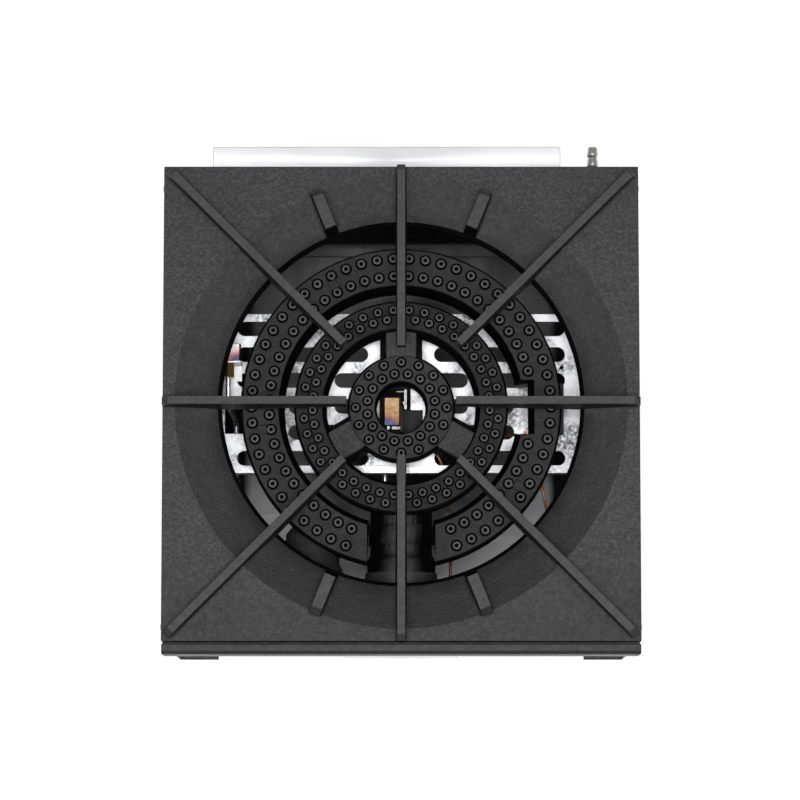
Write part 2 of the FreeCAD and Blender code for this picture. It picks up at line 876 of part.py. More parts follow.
def side_panels():
    """Folded side sheets, with air slots near the bottom."""
    length = rear_y - rail_back
    high = seat_z - d.body_bottom
    for side, name in ((-1, "left"), (1, "right")):
        body = new_body(f"{name}_side_panel")
        place(body, side * half_width, (rear_y + rail_back) / 2, d.body_bottom)
        thick = side * d.sheet
        section = sketch_on(body, "XZ_Plane")
        draw_polygon(section, [
            (0, 0),
            (-side * d.bottom_flange, 0),
            (-side * d.bottom_flange, d.sheet),
            (-thick, d.sheet),
            (-thick, high - d.sheet),
            (-side * d.top_flange, high - d.sheet),
            (-side * d.top_flange, high),
            (0, high),
        ])
        pad(body, section, length, symmetric=True)
        louvres = sketch_on(body, "YZ_Plane")
        half = d.louvre_length / 2
        for index in range(LOUVRES):
            draw_slot(louvres, -half, half, d.louvre_rise + d.louvre_pitch * index, d.louvre_height)
        pocket(body, louvres)


def rear_panel():
    body = new_body("rear_panel")
    place(body, 0, rear_y, d.body_bottom + d.sheet)
    high = panel_top - d.body_bottom - d.sheet
    section = sketch_on(body, "YZ_Plane")
    draw_polygon(section, [
        (0, 0),
        (0, high),
        (-d.top_flange, high),
        (-d.top_flange, high - d.sheet),
        (-d.sheet, high - d.sheet),
        (-d.sheet, d.sheet),
        (-d.bottom_flange, d.sheet),
        (-d.bottom_flange, 0),
    ])
    pad(body, section, 2 * inner_half, symmetric=True)
    hole = sketch_on(body, "XZ_Plane")
    draw_circle(hole, d.inlet_thread_radius + d.inlet_fit, d.inlet_side, pipe_z - d.body_bottom - d.sheet)
    pocket(body, hole)


def rear_standoff():
    """Folded bright sheet that keeps the stove clear of a wall."""
    body = new_body("rear_standoff")
    place(body, d.standoff_shift, rear_y, d.overall_height - d.standoff_depth)
    half = d.standoff_width / 2
    reach = d.standoff_reach
    section = sketch_on(body, "XY_Plane")
    draw_polygon(section, [
        (-half, 0),
        (-half, reach),
        (half, reach),
        (half, 0),
        (half - d.sheet, 0),
        (half - d.sheet, reach - d.sheet),
        (-half + d.sheet, reach - d.sheet),
        (-half + d.sheet, 0),
    ])
    pad(body, section, d.standoff_height, backwards=True)
    top = sketch_on(body, "XY_Plane")
    draw_box(top, -half, half, 0, reach)
    pad(body, top, d.sheet, backwards=True)


def rear_baffle():
    """Dark sheet behind the burners, between the side panels, folded back to the rear panel."""
    body = new_body("rear_baffle")
    top = panel_top - d.baffle_drop
    low = d.body_bottom + d.sheet * 2
    place(body, 0, baffle_y, low)
    high = top - low
    section = sketch_on(body, "YZ_Plane")
    depth = rear_y - d.sheet - baffle_y
    draw_polygon(section, [
        (0, 0),
        (d.sheet, 0),
        (d.sheet, high - d.sheet),
        (depth, high - d.sheet),
        (depth, high),
        (0, high),
    ])
    pad(body, section, 2 * inner_half, symmetric=True)
    passage = sketch_on(body, "XZ_Plane")
    draw_circle(passage, d.pipe_radius + d.panel_hole_gap, d.inlet_side, pipe_z - low)
    pocket(body, passage)


def front_rail():
    body = new_body("front_rail")
    place(body, 0, (rail_front + rail_back) / 2, rail_top)
    half = d.rail_depth / 2
    section = sketch_on(body, "YZ_Plane")
    corner = d.rail_corner
    draw_polygon(section, [
        (-half, -d.rail_height + corner),
        (-half + corner, -d.rail_height),
        (half, -d.rail_height),
        (half, 0),
        (-half + corner, 0),
        (-half, -corner),
    ])
    pad(body, section, d.grate_width, symmetric=True)


def control_panel():
    """Set back below the rail, which keeps the knobs within the front edge."""
    body = new_body("control_panel")
    place(body, 0, panel_front, panel_top)
    forward = rail_back - panel_front
    section = sketch_on(body, "YZ_Plane")
    draw_polygon(section, [
        (forward, 0),
        (d.sheet, 0),
        (d.sheet, -d.control_height),
        (0, -d.control_height),
        (0, -d.sheet),
        (forward, -d.sheet),
    ])
    pad(body, section, 2 * inner_half, symmetric=True)
    holes = sketch_on(body, "XZ_Plane")
    for x in (-d.outer_tube_offset, as_size(0.0)):
        draw_circle(holes, d.stem_radius + d.panel_hole_gap, x, tube_z - panel_top)
    pocket(body, holes)


def lower_front_panel():
    body = new_body("lower_front_panel")
    top = panel_top - d.control_height
    place(body, 0, panel_front, top)
    low = face_top + d.front_gap - top
    section = sketch_on(body, "YZ_Plane")
    draw_polygon(section, [
        (0, 0),
        (0, low),
        (d.top_flange, low),
        (d.top_flange, low + d.sheet),
        (d.sheet, low + d.sheet),
        (d.sheet, -d.sheet),
        (d.top_flange, -d.sheet),
        (d.top_flange, 0),
    ])
    pad(body, section, 2 * inner_half, symmetric=True)


def drip_tray():
    """Folded tray whose side rims hang on the runners, with a front face."""
    body = new_body("drip_tray")
    place(body, 0, panel_front, d.tray_floor)
    thick = d.tray_sheet
    rim = tray_half + d.tray_rim
    high = d.tray_height
    section = sketch_on(body, "XZ_Plane", out=-d.sheet)
    draw_polygon(section, [
        (-tray_half, 0),
        (tray_half, 0),
        (tray_half, high - thick),
        (rim, high - thick),
        (rim, high),
        (tray_half - thick, high),
        (tray_half - thick, thick),
        (-tray_half + thick, thick),
        (-tray_half + thick, high),
        (-rim, high),
        (-rim, high - thick),
        (-tray_half, high - thick),
    ])
    length = tray_rear - panel_back
    pad(body, section, length, backwards=True)
    wall = sketch_on(body, "XZ_Plane", out=-length - d.sheet)
    draw_box(wall, -tray_half, tray_half, 0, high)
    pad(body, wall, thick)
    rear_rim = sketch_on(body, "XY_Plane", out=high)
    draw_box(rear_rim, -tray_half, tray_half, length + d.sheet - d.tray_rim, length + d.sheet)
    pad(body, rear_rim, thick, backwards=True)
    face = sketch_on(body, "XZ_Plane")
    side = inner_half - d.tray_face_gap
    low = -d.tray_face_drop
    draw_box(face, -side, side, low, low + d.tray_face_height)
    pad(body, face, d.sheet, backwards=True)


def tray_pull():
    """Bent strip handle on the front of the tray."""
    body = new_body("tray_pull")
    middle = face_top - d.tray_face_height / 2
    place(body, 0, panel_front, middle)
    half = d.pull_width / 2
    strip = d.pull_strip
    reach = -d.pull_reach
    bend = d.pull_reach / 3
    section = sketch_on(body, "XY_Plane")
    draw_polygon(section, [
        (-half, 0),
        (-half, reach + bend),
        (-half + bend, reach),
        (half - bend, reach),
        (half, reach + bend),
        (half, 0),
        (half - strip, 0),
        (half - strip, reach + bend),
        (half - bend - strip / 2, reach + strip),
        (-half + bend + strip / 2, reach + strip),
        (-half + strip, reach + bend),
        (-half + strip, 0),
    ])
    pad(body, section, d.pull_height, symmetric=True)


def tray_runners():
    """Angles on the side panels that carry the rims of the tray."""
    length = tray_rear - panel_back
    for side, name in ((-1, "left"), (1, "right")):
        body = new_body(f"tray_runner_{name}")
        ledge = tray_top - d.tray_sheet - d.slide_gap
        place(body, side * inner_half, (tray_rear + panel_back) / 2, ledge)
        reach = d.tray_side_gap - d.slide_gap
        section = sketch_on(body, "XZ_Plane")
        draw_polygon(section, [
            (0, 0),
            (0, -d.runner_height),
            (-side * d.sheet, -d.runner_height),
            (-side * d.sheet, -d.sheet),
            (-side * reach, -d.sheet),
            (-side * reach, 0),
        ])
        pad(body, section, length, symmetric=True)


def legs_and_feet():
    """Round legs on top plates, each with a foot that screws into its socket."""
    bottom = d.foot_height + d.slide_gap
    plate_low = d.body_bottom - d.leg_plate_thickness
    socket = d.foot_stem_radius + d.foot_fit
    x = half_width - d.leg_inset
    corners = []
    for end, y in (("front", rail_back + d.leg_inset), ("rear", rear_y - d.leg_inset)):
        corners.append((f"{end}_left", -x, y))
        corners.append((f"{end}_right", x, y))
    for corner, x, y in corners:
        leg = new_body(f"leg_{corner}")
        place(leg, x, y, bottom)
        high = plate_low - bottom
        revolve(leg, [
            (socket, 0),
            (d.leg_radius, 0),
            (d.leg_radius, high),
            (0, high),
            (0, d.leg_socket_depth),
            (socket, d.leg_socket_depth),
        ])
        plate = sketch_on(leg, "XY_Plane", out=high)
        half = d.leg_plate / 2
        draw_box(plate, -half, half, -half, half)
        pad(leg, plate, d.leg_plate_thickness)
        foot = new_body(f"foot_{corner}")
        place(foot, x, y, 0)
        stem_top = d.foot_height + d.foot_stem_length
        collar_low = d.foot_height - d.foot_collar
        revolve(foot, [
            (0, 0),
            (d.foot_pad_radius, 0),
            (d.foot_pad_radius, collar_low),
            (d.foot_stem_radius, collar_low),
            (d.foot_stem_radius, stem_top),
            (0, stem_top),
        ])
        collar = sketch_on(foot, "XY_Plane", out=collar_low)
        draw_regular(collar, 6, d.foot_hex)
        pad(foot, collar, d.foot_collar)


def control(name, x):
    """Valve, stem, dial, knob and jet of one burner, in line with its mixing tube."""
    valve = new_body(f"{name}_valve")
    place(valve, x, jet_y, tube_z, FACING_FRONT)
    stem_bore = d.stem_radius + d.stem_fit
    front = d.valve_length + d.bonnet_length
    revolve(valve, [
        (0, 0),
        (d.valve_radius, 0),
        (d.valve_radius, d.valve_length),
        (d.bonnet_radius, d.valve_length),
        (d.bonnet_radius, front),
        (stem_bore, front),
        (stem_bore, front - d.stem_depth),
        (0, front - d.stem_depth),
    ])
    neck = sketch_on(valve, "XZ_Plane", out=boss_z * -1 + tube_z)
    draw_circle(neck, d.valve_neck_radius, 0, d.valve_length / 2)
    pad(valve, neck, tube_z - boss_z - d.valve_radius / 2, backwards=True)

    knob_base = panel_front - d.dial_thickness - d.knob_gap
    stem = new_body(f"{name}_stem")
    stem_start = panel_back + d.stem_depth - d.slide_gap
    stem_end = knob_base - d.knob_socket + d.slide_gap
    place(stem, x, stem_start, tube_z, FACING_FRONT)
    rod = sketch_on(stem, "XY_Plane")
    draw_circle(rod, d.stem_radius)
    pad(stem, rod, stem_start - stem_end)

    dial = new_body(f"{name}_dial")
    place(dial, x, panel_front, tube_z, FACING_FRONT)
    disc = sketch_on(dial, "XY_Plane")
    draw_circle(disc, d.dial_radius)
    draw_circle(disc, d.stem_radius + d.panel_hole_gap)
    pad(dial, disc, d.dial_thickness)

    knob = new_body(f"{name}_knob")
    place(knob, x, knob_base, tube_z, FACING_FRONT)
    socket = d.stem_radius + d.stem_fit
    revolve(knob, [
        (socket, 0),
        (d.knob_radius, 0),
        (d.knob_radius, d.knob_skirt - d.knob_bevel),
        (d.knob_radius - d.knob_bevel, d.knob_skirt),
        (d.knob_crown_radius, d.knob_skirt),
        (d.knob_crown_radius - d.knob_bevel, d.knob_height),
        (0, d.knob_height),
        (0, d.knob_socket),
        (socket, d.knob_socket),
    ])
    grip = sketch_on(knob, "XY_Plane", out=d.knob_skirt)
    wide = d.knob_radius
    for side in (-1, 1):
        draw_box(grip, side * d.knob_grip / 2, side * wide, -wide, wide)
    pocket(knob, grip, d.knob_height, upwards=True)

    jet = new_body(f"{name}_jet")
    place(jet, x, jet_y, tube_z, FACING_FRONT)
    hexagon = sketch_on(jet, "XY_Plane")
    draw_regular(hexagon, 6, 2 * d.jet_hex)
    pad(jet, hexagon, d.jet_hex_length, backwards=True)
    end = d.jet_hex_length + d.jet_nose_length
    revolve(jet, [
        (0, -d.jet_hex_length),
        (d.jet_nose_radius, -d.jet_hex_length),
        (d.jet_nose_radius, -d.jet_hex_length - d.jet_nose_length / 2),
        (d.jet_tip_radius, -d.jet_hex_length - d.jet_nose_length / 2),
        (d.jet_tip_radius, -end),
        (0, -end),
    ])


def gas_pipe():
    """Manifold behind the control panel that bends back along the right side to the inlet."""
    body = new_body("gas_manifold")
    place(body, 0, 0, pipe_z)
    end_y = rear_y - d.sheet - d.inlet_nut_length - d.slide_gap
    path = sketch_on(body, "XY_Plane")
    x = d.inlet_side
    bend = d.pipe_bend
    corners = [(-d.pipe_left, pipe_y), (x - bend, pipe_y), (x, pipe_y + bend), (x, end_y)]
    points = [Vector(as_size(across).value, as_size(along).value, 0) for across, along in corners]
    path.addGeometry(Part.LineSegment(points[0], points[1]), False)
    centre = points[1] + Vector(0, bend.value, 0)
    circle = Part.Circle(centre, Vector(0, 0, 1), bend.value)
    path.addGeometry(Part.ArcOfCircle(circle, 1.5 * math.pi, 2 * math.pi), False)
    path.addGeometry(Part.LineSegment(points[2], points[3]), False)
    rows = [("Coincident", 0, 2, 1, 1), ("Coincident", 1, 2, 2, 1), ("Radius", 1, bend)]
    for place_at, corner in zip(((0, 1), (0, 2), (2, 1), (2, 2)), corners):
        rows.extend(point_at(*place_at, *corner))
    constrain(path, *rows)
    section = sketch_on(body, "YZ_Plane", across=pipe_y, out=-d.pipe_left)
    draw_circle(section, d.pipe_radius)
    sweep = body.newObject("PartDesign::AdditivePipe", "pipe")
    sweep.Profile = section
    sweep.Spine = path
    bosses = sketch_on(body, "XY_Plane")
    for place_x in (-d.outer_tube_offset, as_size(0.0)):
        draw_circle(bosses, d.valve_neck_radius, place_x, pipe_y)
    for place_x in (-d.pilot_valve_outer_side, -d.pilot_valve_side):
        draw_circle(bosses, d.pilot_valve_radius, place_x, pipe_y)
    pad(body, bosses, d.pipe_boss)

    plug = new_body("manifold_plug")
    place(plug, -d.pipe_left, pipe_y, pipe_z)
    hexagon = sketch_on(plug, "YZ_Plane")
    draw_regular(hexagon, 6, 2 * d.plug_radius)
    pad(plug, hexagon, d.plug_length, backwards=True)


def gas_inlet():
    """Hose tail through the rear panel, held by a lock nut."""
    body = new_body("gas_inlet")
    place(body, d.inlet_side, rear_y, pipe_z, FACING_FRONT)
    inner = d.sheet + d.inlet_nut_length
    barb_length = (d.inlet_reach - d.inlet_hex_length) / BARBS
    points = [(0, inner), (d.inlet_thread_radius, inner), (d.inlet_thread_radius, 0)]
    points.append((d.inlet_neck_radius, 0))
    points.append((d.inlet_neck_radius, -d.inlet_hex_length))
    for index in range(BARBS):
        root = -d.inlet_hex_length - barb_length * index
        points.append((d.inlet_barb_radius, root - barb_length * BARB_FRONT))
        points.append((d.inlet_barb_radius, root - barb_length * BARB_REAR))
        points.append((d.inlet_neck_radius, root - barb_length))
    points.append((0, -d.inlet_reach))
    revolve(body, points)
    hexagon = sketch_on(body, "XY_Plane")
    draw_regular(hexagon, 6, 2 * d.inlet_hex)
    pad(body, hexagon, d.inlet_hex_length, backwards=True)

    nut = new_body("inlet_nut")
    place(nut, d.inlet_side, rear_y - d.sheet, pipe_z, FACING_FRONT)
    outline = sketch_on(nut, "XY_Plane")
    draw_regular(outline, 6, 2 * d.inlet_hex)
    draw_circle(outline, d.inlet_thread_radius + d.pilot_fit)
    pad(nut, outline, d.inlet_nut_length)


def pilot_valve(label, x):
    body = new_body(label)
    place(body, x, pipe_y, boss_z)
    radius = d.pilot_valve_radius
    high = d.pilot_valve_height
    revolve(body, [
        (0, 0),
        (radius, 0),
        (radius, high * SHOULDER_HEIGHT),
        (radius * NECK_RADIUS, high * SHOULDER_HEIGHT),
        (radius * NECK_RADIUS, high),
        (0, high),
    ])


def pilot_hood(label, x, y, z, length):
    """Folded strip that shields a pilot flame, open below and at both ends."""
    hood = new_body(label)
    place(hood, x, y, z)
    half = d.hood_width / 2
    high = d.hood_height / 2
    fold = d.hood_fold
    skin = d.hood_sheet
    arch = sketch_on(hood, "XZ_Plane")
    draw_polygon(arch, [
        (-half, -high),
        (-half, high - fold),
        (-half + fold, high),
        (half - fold, high),
        (half, high - fold),
        (half, -high),
        (half - skin, -high),
        (half - skin, high - fold),
        (half - fold, high - skin),
        (-half + fold, high - skin),
        (-half + skin, high - fold),
        (-half + skin, -high),
    ])
    pad(hood, arch, length, backwards=True)


def outer_pilot():
    """Beside the outer ring: an upright bracket with the brass burner through it and the hood behind."""
    x = -d.outer_pilot_x
    y = burner_y + d.outer_pilot_y
    rise = d.outer_pilot_rise
    bracket = new_body("outer_pilot_bracket")
    place(bracket, x + d.hood_shift, y, support_top)
    thick = d.sheet
    top = rise + d.hood_height / 2
    section = sketch_on(bracket, "YZ_Plane")
    draw_polygon(section, [
        (-d.pilot_foot, 0),
        (thick, 0),
        (thick, top),
        (0, top),
        (0, thick),
        (-d.pilot_foot, thick),
    ])
    pad(bracket, section, d.hood_width, symmetric=True)
    hole = sketch_on(bracket, "XZ_Plane")
    draw_circle(hole, d.pilot_radius + d.pilot_fit, -d.hood_shift, rise)
    pocket(bracket, hole)

    burner = new_body("outer_pilot_burner")
    place(burner, x, y, support_top + rise, FACING_FRONT)
    nose = thick + d.pilot_nose
    revolve(burner, [(0, 0), (d.pilot_radius, 0), (d.pilot_radius, -nose), (0, -nose)])
    hexagon = sketch_on(burner, "XY_Plane")
    draw_regular(hexagon, 6, 2 * d.pilot_hex)
    pad(burner, hexagon, d.pilot_hex_length)
    pilot_hood("outer_pilot_hood", x + d.hood_shift, y + thick, support_top + rise, d.outer_hood_length)


def centre_pilot():
    """In the centre ring's bore: an upright brass burner below a hood, on a foot over the plate's well."""
    x = -d.centre_pilot_x
    y = burner_y - d.centre_pilot_y
    middle = y + d.centre_hood_length / 2
    rise = d.centre_pilot_rise
    half_hood = d.hood_width / 2
    thick = d.sheet
    bracket = new_body("centre_pilot_bracket")
    place(bracket, x + half_hood, middle, support_top)
    section = sketch_on(bracket, "XZ_Plane", out=d.centre_foot_forward)
    draw_polygon(section, [
        (-half_hood - d.pilot_hex, 0),
        (d.centre_foot_reach, 0),
        (d.centre_foot_reach, thick),
        (thick, thick),
        (thick, rise),
        (0, rise),
        (0, thick),
        (-half_hood - d.pilot_hex, thick),
    ])
    pad(bracket, section, d.centre_foot_width, symmetric=True)
    hole = sketch_on(bracket, "XY_Plane")
    draw_circle(hole, d.tube_radius + d.tube_clearance, -half_hood)
    pocket(bracket, hole)

    burner = new_body("centre_pilot_burner")
    place(burner, x, middle, support_top + thick)
    nose = rise + d.hood_height / 2 - d.pilot_gap - thick
    revolve(burner, [(0, 0), (d.pilot_radius, 0), (d.pilot_radius, nose), (0, nose)])
    hexagon = sketch_on(burner, "XY_Plane")
    draw_regular(hexagon, 6, 2 * d.pilot_hex, start=30.0)
    pad(burner, hexagon, d.pilot_hex_length)
    pilot_hood("centre_pilot_hood", x, y, support_top + rise, d.centre_hood_length)


def tube_stops(bend, points):
    """The points of a route, with each corner turned into a few short steps round its bend."""
    stops = [points[0]]
    for before, corner, after in zip(points, points[1:], points[2:]):
        arriving = (corner - before).normalize()
        leaving = (after - corner).normalize()
        turn = arriving.getAngle(leaving)
        begin = corner - arriving * (bend * math.tan(turn / 2))
        inward = (leaving - arriving).normalize()
        centre = corner + inward * (bend / math.cos(turn / 2))
        axis = arriving.cross(leaving)
        for step in range(BEND_STEPS + 1):
            swing = Rotation(axis, math.degrees(turn) * step / BEND_STEPS)
            stops.append(centre + swing.multVec(begin - centre))
    stops.append(points[-1])
    return stops


def bent_tube(label, radius, bend, points):
    """A thin tube along straight runs joined by bends of one radius, with few flat sides."""
    stops = tube_stops(bend, points)
    runs = [(after - before).normalize() for before, after in zip(stops, stops[1:])]
    side = runs[0].cross(Vector(1, 1, 1)).normalize() * radius
    turns = [Rotation(runs[0], 360 * index / TUBE_SIDES) for index in range(TUBE_SIDES)]
    ring = [stops[0] + turn.multVec(side) for turn in turns]
    faces = [Part.Face(Part.makePolygon(ring + ring[:1]))]
    for stop, run, following in zip(stops[1:], runs, runs[1:] + runs[-1:]):
        across = run + following
        ahead = [corner + run * ((stop - corner).dot(across) / run.dot(across)) for corner in ring]
        for index in range(TUBE_SIDES):
            after = (index + 1) % TUBE_SIDES
            corners = [ring[index], ring[after], ahead[after], ahead[index], ring[index]]
            faces.append(Part.Face(Part.makePolygon(corners)))
        ring = ahead
    faces.append(Part.Face(Part.makePolygon(ring + ring[:1])))
    piece = doc.addObject("Part::Feature", label)
    piece.Label = label
    piece.Shape = Part.Solid(Part.Shell(faces))
    pieces.append(piece)


def pilot_tubes():
    """Gas tubes from the pilot valves, below the support plate and up through its wells."""
    radius = d.tube_radius.value
    bend = d.tube_bend.value
    level = support_top.value
    middle_y = burner_y.value
    plate_front = middle_y - d.support_front.value
    valve_end = pipe_y.value + d.pilot_valve_radius.value + d.slide_gap.value
    valve_port = boss_z.value + d.pilot_valve_height.value * PORT_HEIGHT

    x = -d.outer_pilot_x.value
    hex_front = middle_y + d.outer_pilot_y.value - d.pilot_hex_length.value
    top = level + d.outer_pilot_rise.value
    under = level - d.tube_under.value
    dive = d.tube_dive.value
    valve_x = -d.pilot_valve_outer_side.value
    bent_tube("outer_pilot_tube", radius, bend, [
        Vector(x, hex_front - d.slide_gap.value, top),
        Vector(x, middle_y + dive, top),
        Vector(x + dive, middle_y - dive, under),
        Vector(x + dive, plate_front, under),
        Vector(valve_x, mouth_y.value, valve_port),
        Vector(valve_x, valve_end, valve_port),
    ])

    x = -d.centre_pilot_x.value
    y = middle_y - d.centre_pilot_y.value + d.centre_hood_length.value / 2
    low = level - d.tube_low.value
    run_x = -d.tube_run_side.value
    lead = d.tube_lead.value
    valve_x = -d.pilot_valve_side.value
    bent_tube("centre_pilot_tube", radius, bend, [
        Vector(x, y, level + d.sheet.value - d.slide_gap.value),
        Vector(x, y, low),
        Vector(run_x, plate_front, low),
        Vector(run_x, mouth_y.value + lead, low),
        Vector(valve_x, mouth_y.value - lead, valve_port),
        Vector(valve_x, valve_end, valve_port),
    ])


def sensor_tubes():
    """Thin flame sensor tubes from the burners to the sides of the main valves."""
    radius = d.sensor_radius.value
    bend = d.sensor_bend.value
    level = support_top.value
    under = level - d.sensor_under.value
    middle_y = burner_y.value
    plate_front = middle_y - d.support_front.value
    valve_side = d.valve_radius.value + d.slide_gap.value
    valve_y_middle = pipe_y.value
    height = tube_z.value

    web_x = d.hood_width.value / 2 - d.centre_pilot_x.value + d.sheet.value
    x = web_x + radius + d.slide_gap.value
    y = middle_y + d.tube_dive.value
    right_x = d.inner_tube_radius.value + d.sensor_side.value
    bent_tube("centre_sensor_tube", radius, bend, [
        Vector(x, y, level + d.centre_pilot_rise.value),
        Vector(x, y, under),
        Vector(d.sensor_slot_side.value, middle_y - d.sensor_slot_front.value, under),
        Vector(right_x, plate_front - d.sensor_under.value, under),
        Vector(right_x, valve_y_middle, height),
        Vector(valve_side, valve_y_middle, height),
    ])

    tip_x = d.sensor_tip_side.value
    tip_y = middle_y - d.notch_length.value / 2 + radius + d.slide_gap.value
    over = level + d.sensor_over.value
    drop_x = d.sensor_drop_side.value
    drop_y = middle_y - d.sensor_drop_front.value
    cross_y = mouth_y.value - bend
    cross_z = level - d.sensor_cross_drop.value
    valve_x = -d.outer_tube_offset.value
    rise_x = -d.pilot_valve_side.value - bend
    bent_tube("outer_sensor_tube", radius, bend, [
        Vector(tip_x, tip_y, level + d.sensor_tip_rise.value),
        Vector(tip_x, tip_y, over),
        Vector(drop_x, drop_y, level),
        Vector(drop_x, drop_y, under),
        Vector(d.sensor_front_side.value, plate_front - bend, under),
        Vector(d.sensor_wide.value, plate_front - d.sensor_wide_front.value, under),
        Vector(d.sensor_cross_side.value, cross_y, cross_z),
        Vector(rise_x, cross_y, cross_z),
        Vector(rise_x, cross_y, cross_z + d.sensor_rise.value),
        Vector(rise_x, valve_y_middle, height),
        Vector(valve_x + valve_side, valve_y_middle, height),
    ])


top_grate()
front_rail()
side_panels()
rear_panel()
rear_standoff()
rear_baffle()
control_panel()
lower_front_panel()
drip_tray()
tray_pull()
tray_runners()
legs_and_feet()
burner_support()
support_brackets()
outer_burner_base()
outer_burner_cap()
inner_burner_base()
inner_burner_caps()
air_shutter("outer_air_shutter", -d.outer_tube_offset, d.outer_tube_radius)
air_shutter("inner_air_shutter", 0.0, d.inner_tube_radius)
control("outer", -d.outer_tube_offset)
control("inner", 0.0)
gas_pipe()
gas_inlet()
pilot_valve("outer_pilot_valve", -d.pilot_valve_outer_side)
pilot_valve("centre_pilot_valve", -d.pilot_valve_side)
outer_pilot()
centre_pilot()
pilot_tubes()
sensor_tubes()
doc.recompute()

for item in doc.Objects:
    if "Invalid" in item.State or "Error" in item.State:
        raise RuntimeError(f"{item.Label} failed to build")
for piece in pieces:
    if piece.Shape.isNull() or not piece.Shape.isValid() or not piece.Shape.Solids:
        raise RuntimeError(f"{piece.Label} has no valid solid")

os.makedirs("parts", exist_ok=True)
for piece in pieces:
    piece.Shape.exportStep(f"parts/{piece.Label}.step")
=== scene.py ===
import math

import bmesh
import bpy
from mathutils import Matrix, Vector


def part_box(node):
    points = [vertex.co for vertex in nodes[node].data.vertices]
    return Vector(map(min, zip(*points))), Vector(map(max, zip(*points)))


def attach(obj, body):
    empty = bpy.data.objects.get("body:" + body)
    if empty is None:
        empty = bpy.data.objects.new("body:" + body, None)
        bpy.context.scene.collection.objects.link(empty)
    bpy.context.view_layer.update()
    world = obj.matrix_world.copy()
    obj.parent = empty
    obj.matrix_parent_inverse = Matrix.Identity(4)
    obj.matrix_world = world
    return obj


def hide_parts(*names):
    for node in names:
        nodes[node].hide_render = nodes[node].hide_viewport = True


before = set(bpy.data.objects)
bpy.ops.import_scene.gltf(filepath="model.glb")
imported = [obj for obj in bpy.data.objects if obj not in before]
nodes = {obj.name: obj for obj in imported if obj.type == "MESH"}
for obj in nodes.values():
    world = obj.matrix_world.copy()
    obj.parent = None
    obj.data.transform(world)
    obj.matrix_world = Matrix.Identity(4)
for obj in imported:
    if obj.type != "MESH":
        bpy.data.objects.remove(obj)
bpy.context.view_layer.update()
scene = bpy.context.scene
scene.view_settings.view_transform = "Standard"

# Sizes of the part are in millimetres, and become metres when they are multiplied by MM. Angles are in
# degrees.
MM = 0.001
FRONT = 270.0
BACK = 90.0
BURNER_X = 0.0
BURNER_Y = -14.75
PLATE_TOP = 559.0
KNOB_HEIGHT = 512.0
GRATE_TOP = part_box("top_grate")[1].z
GRATE_MIDDLE = (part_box("top_grate")[0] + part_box("top_grate")[1]) / 2
TRAY_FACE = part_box("drip_tray")[0].y / MM


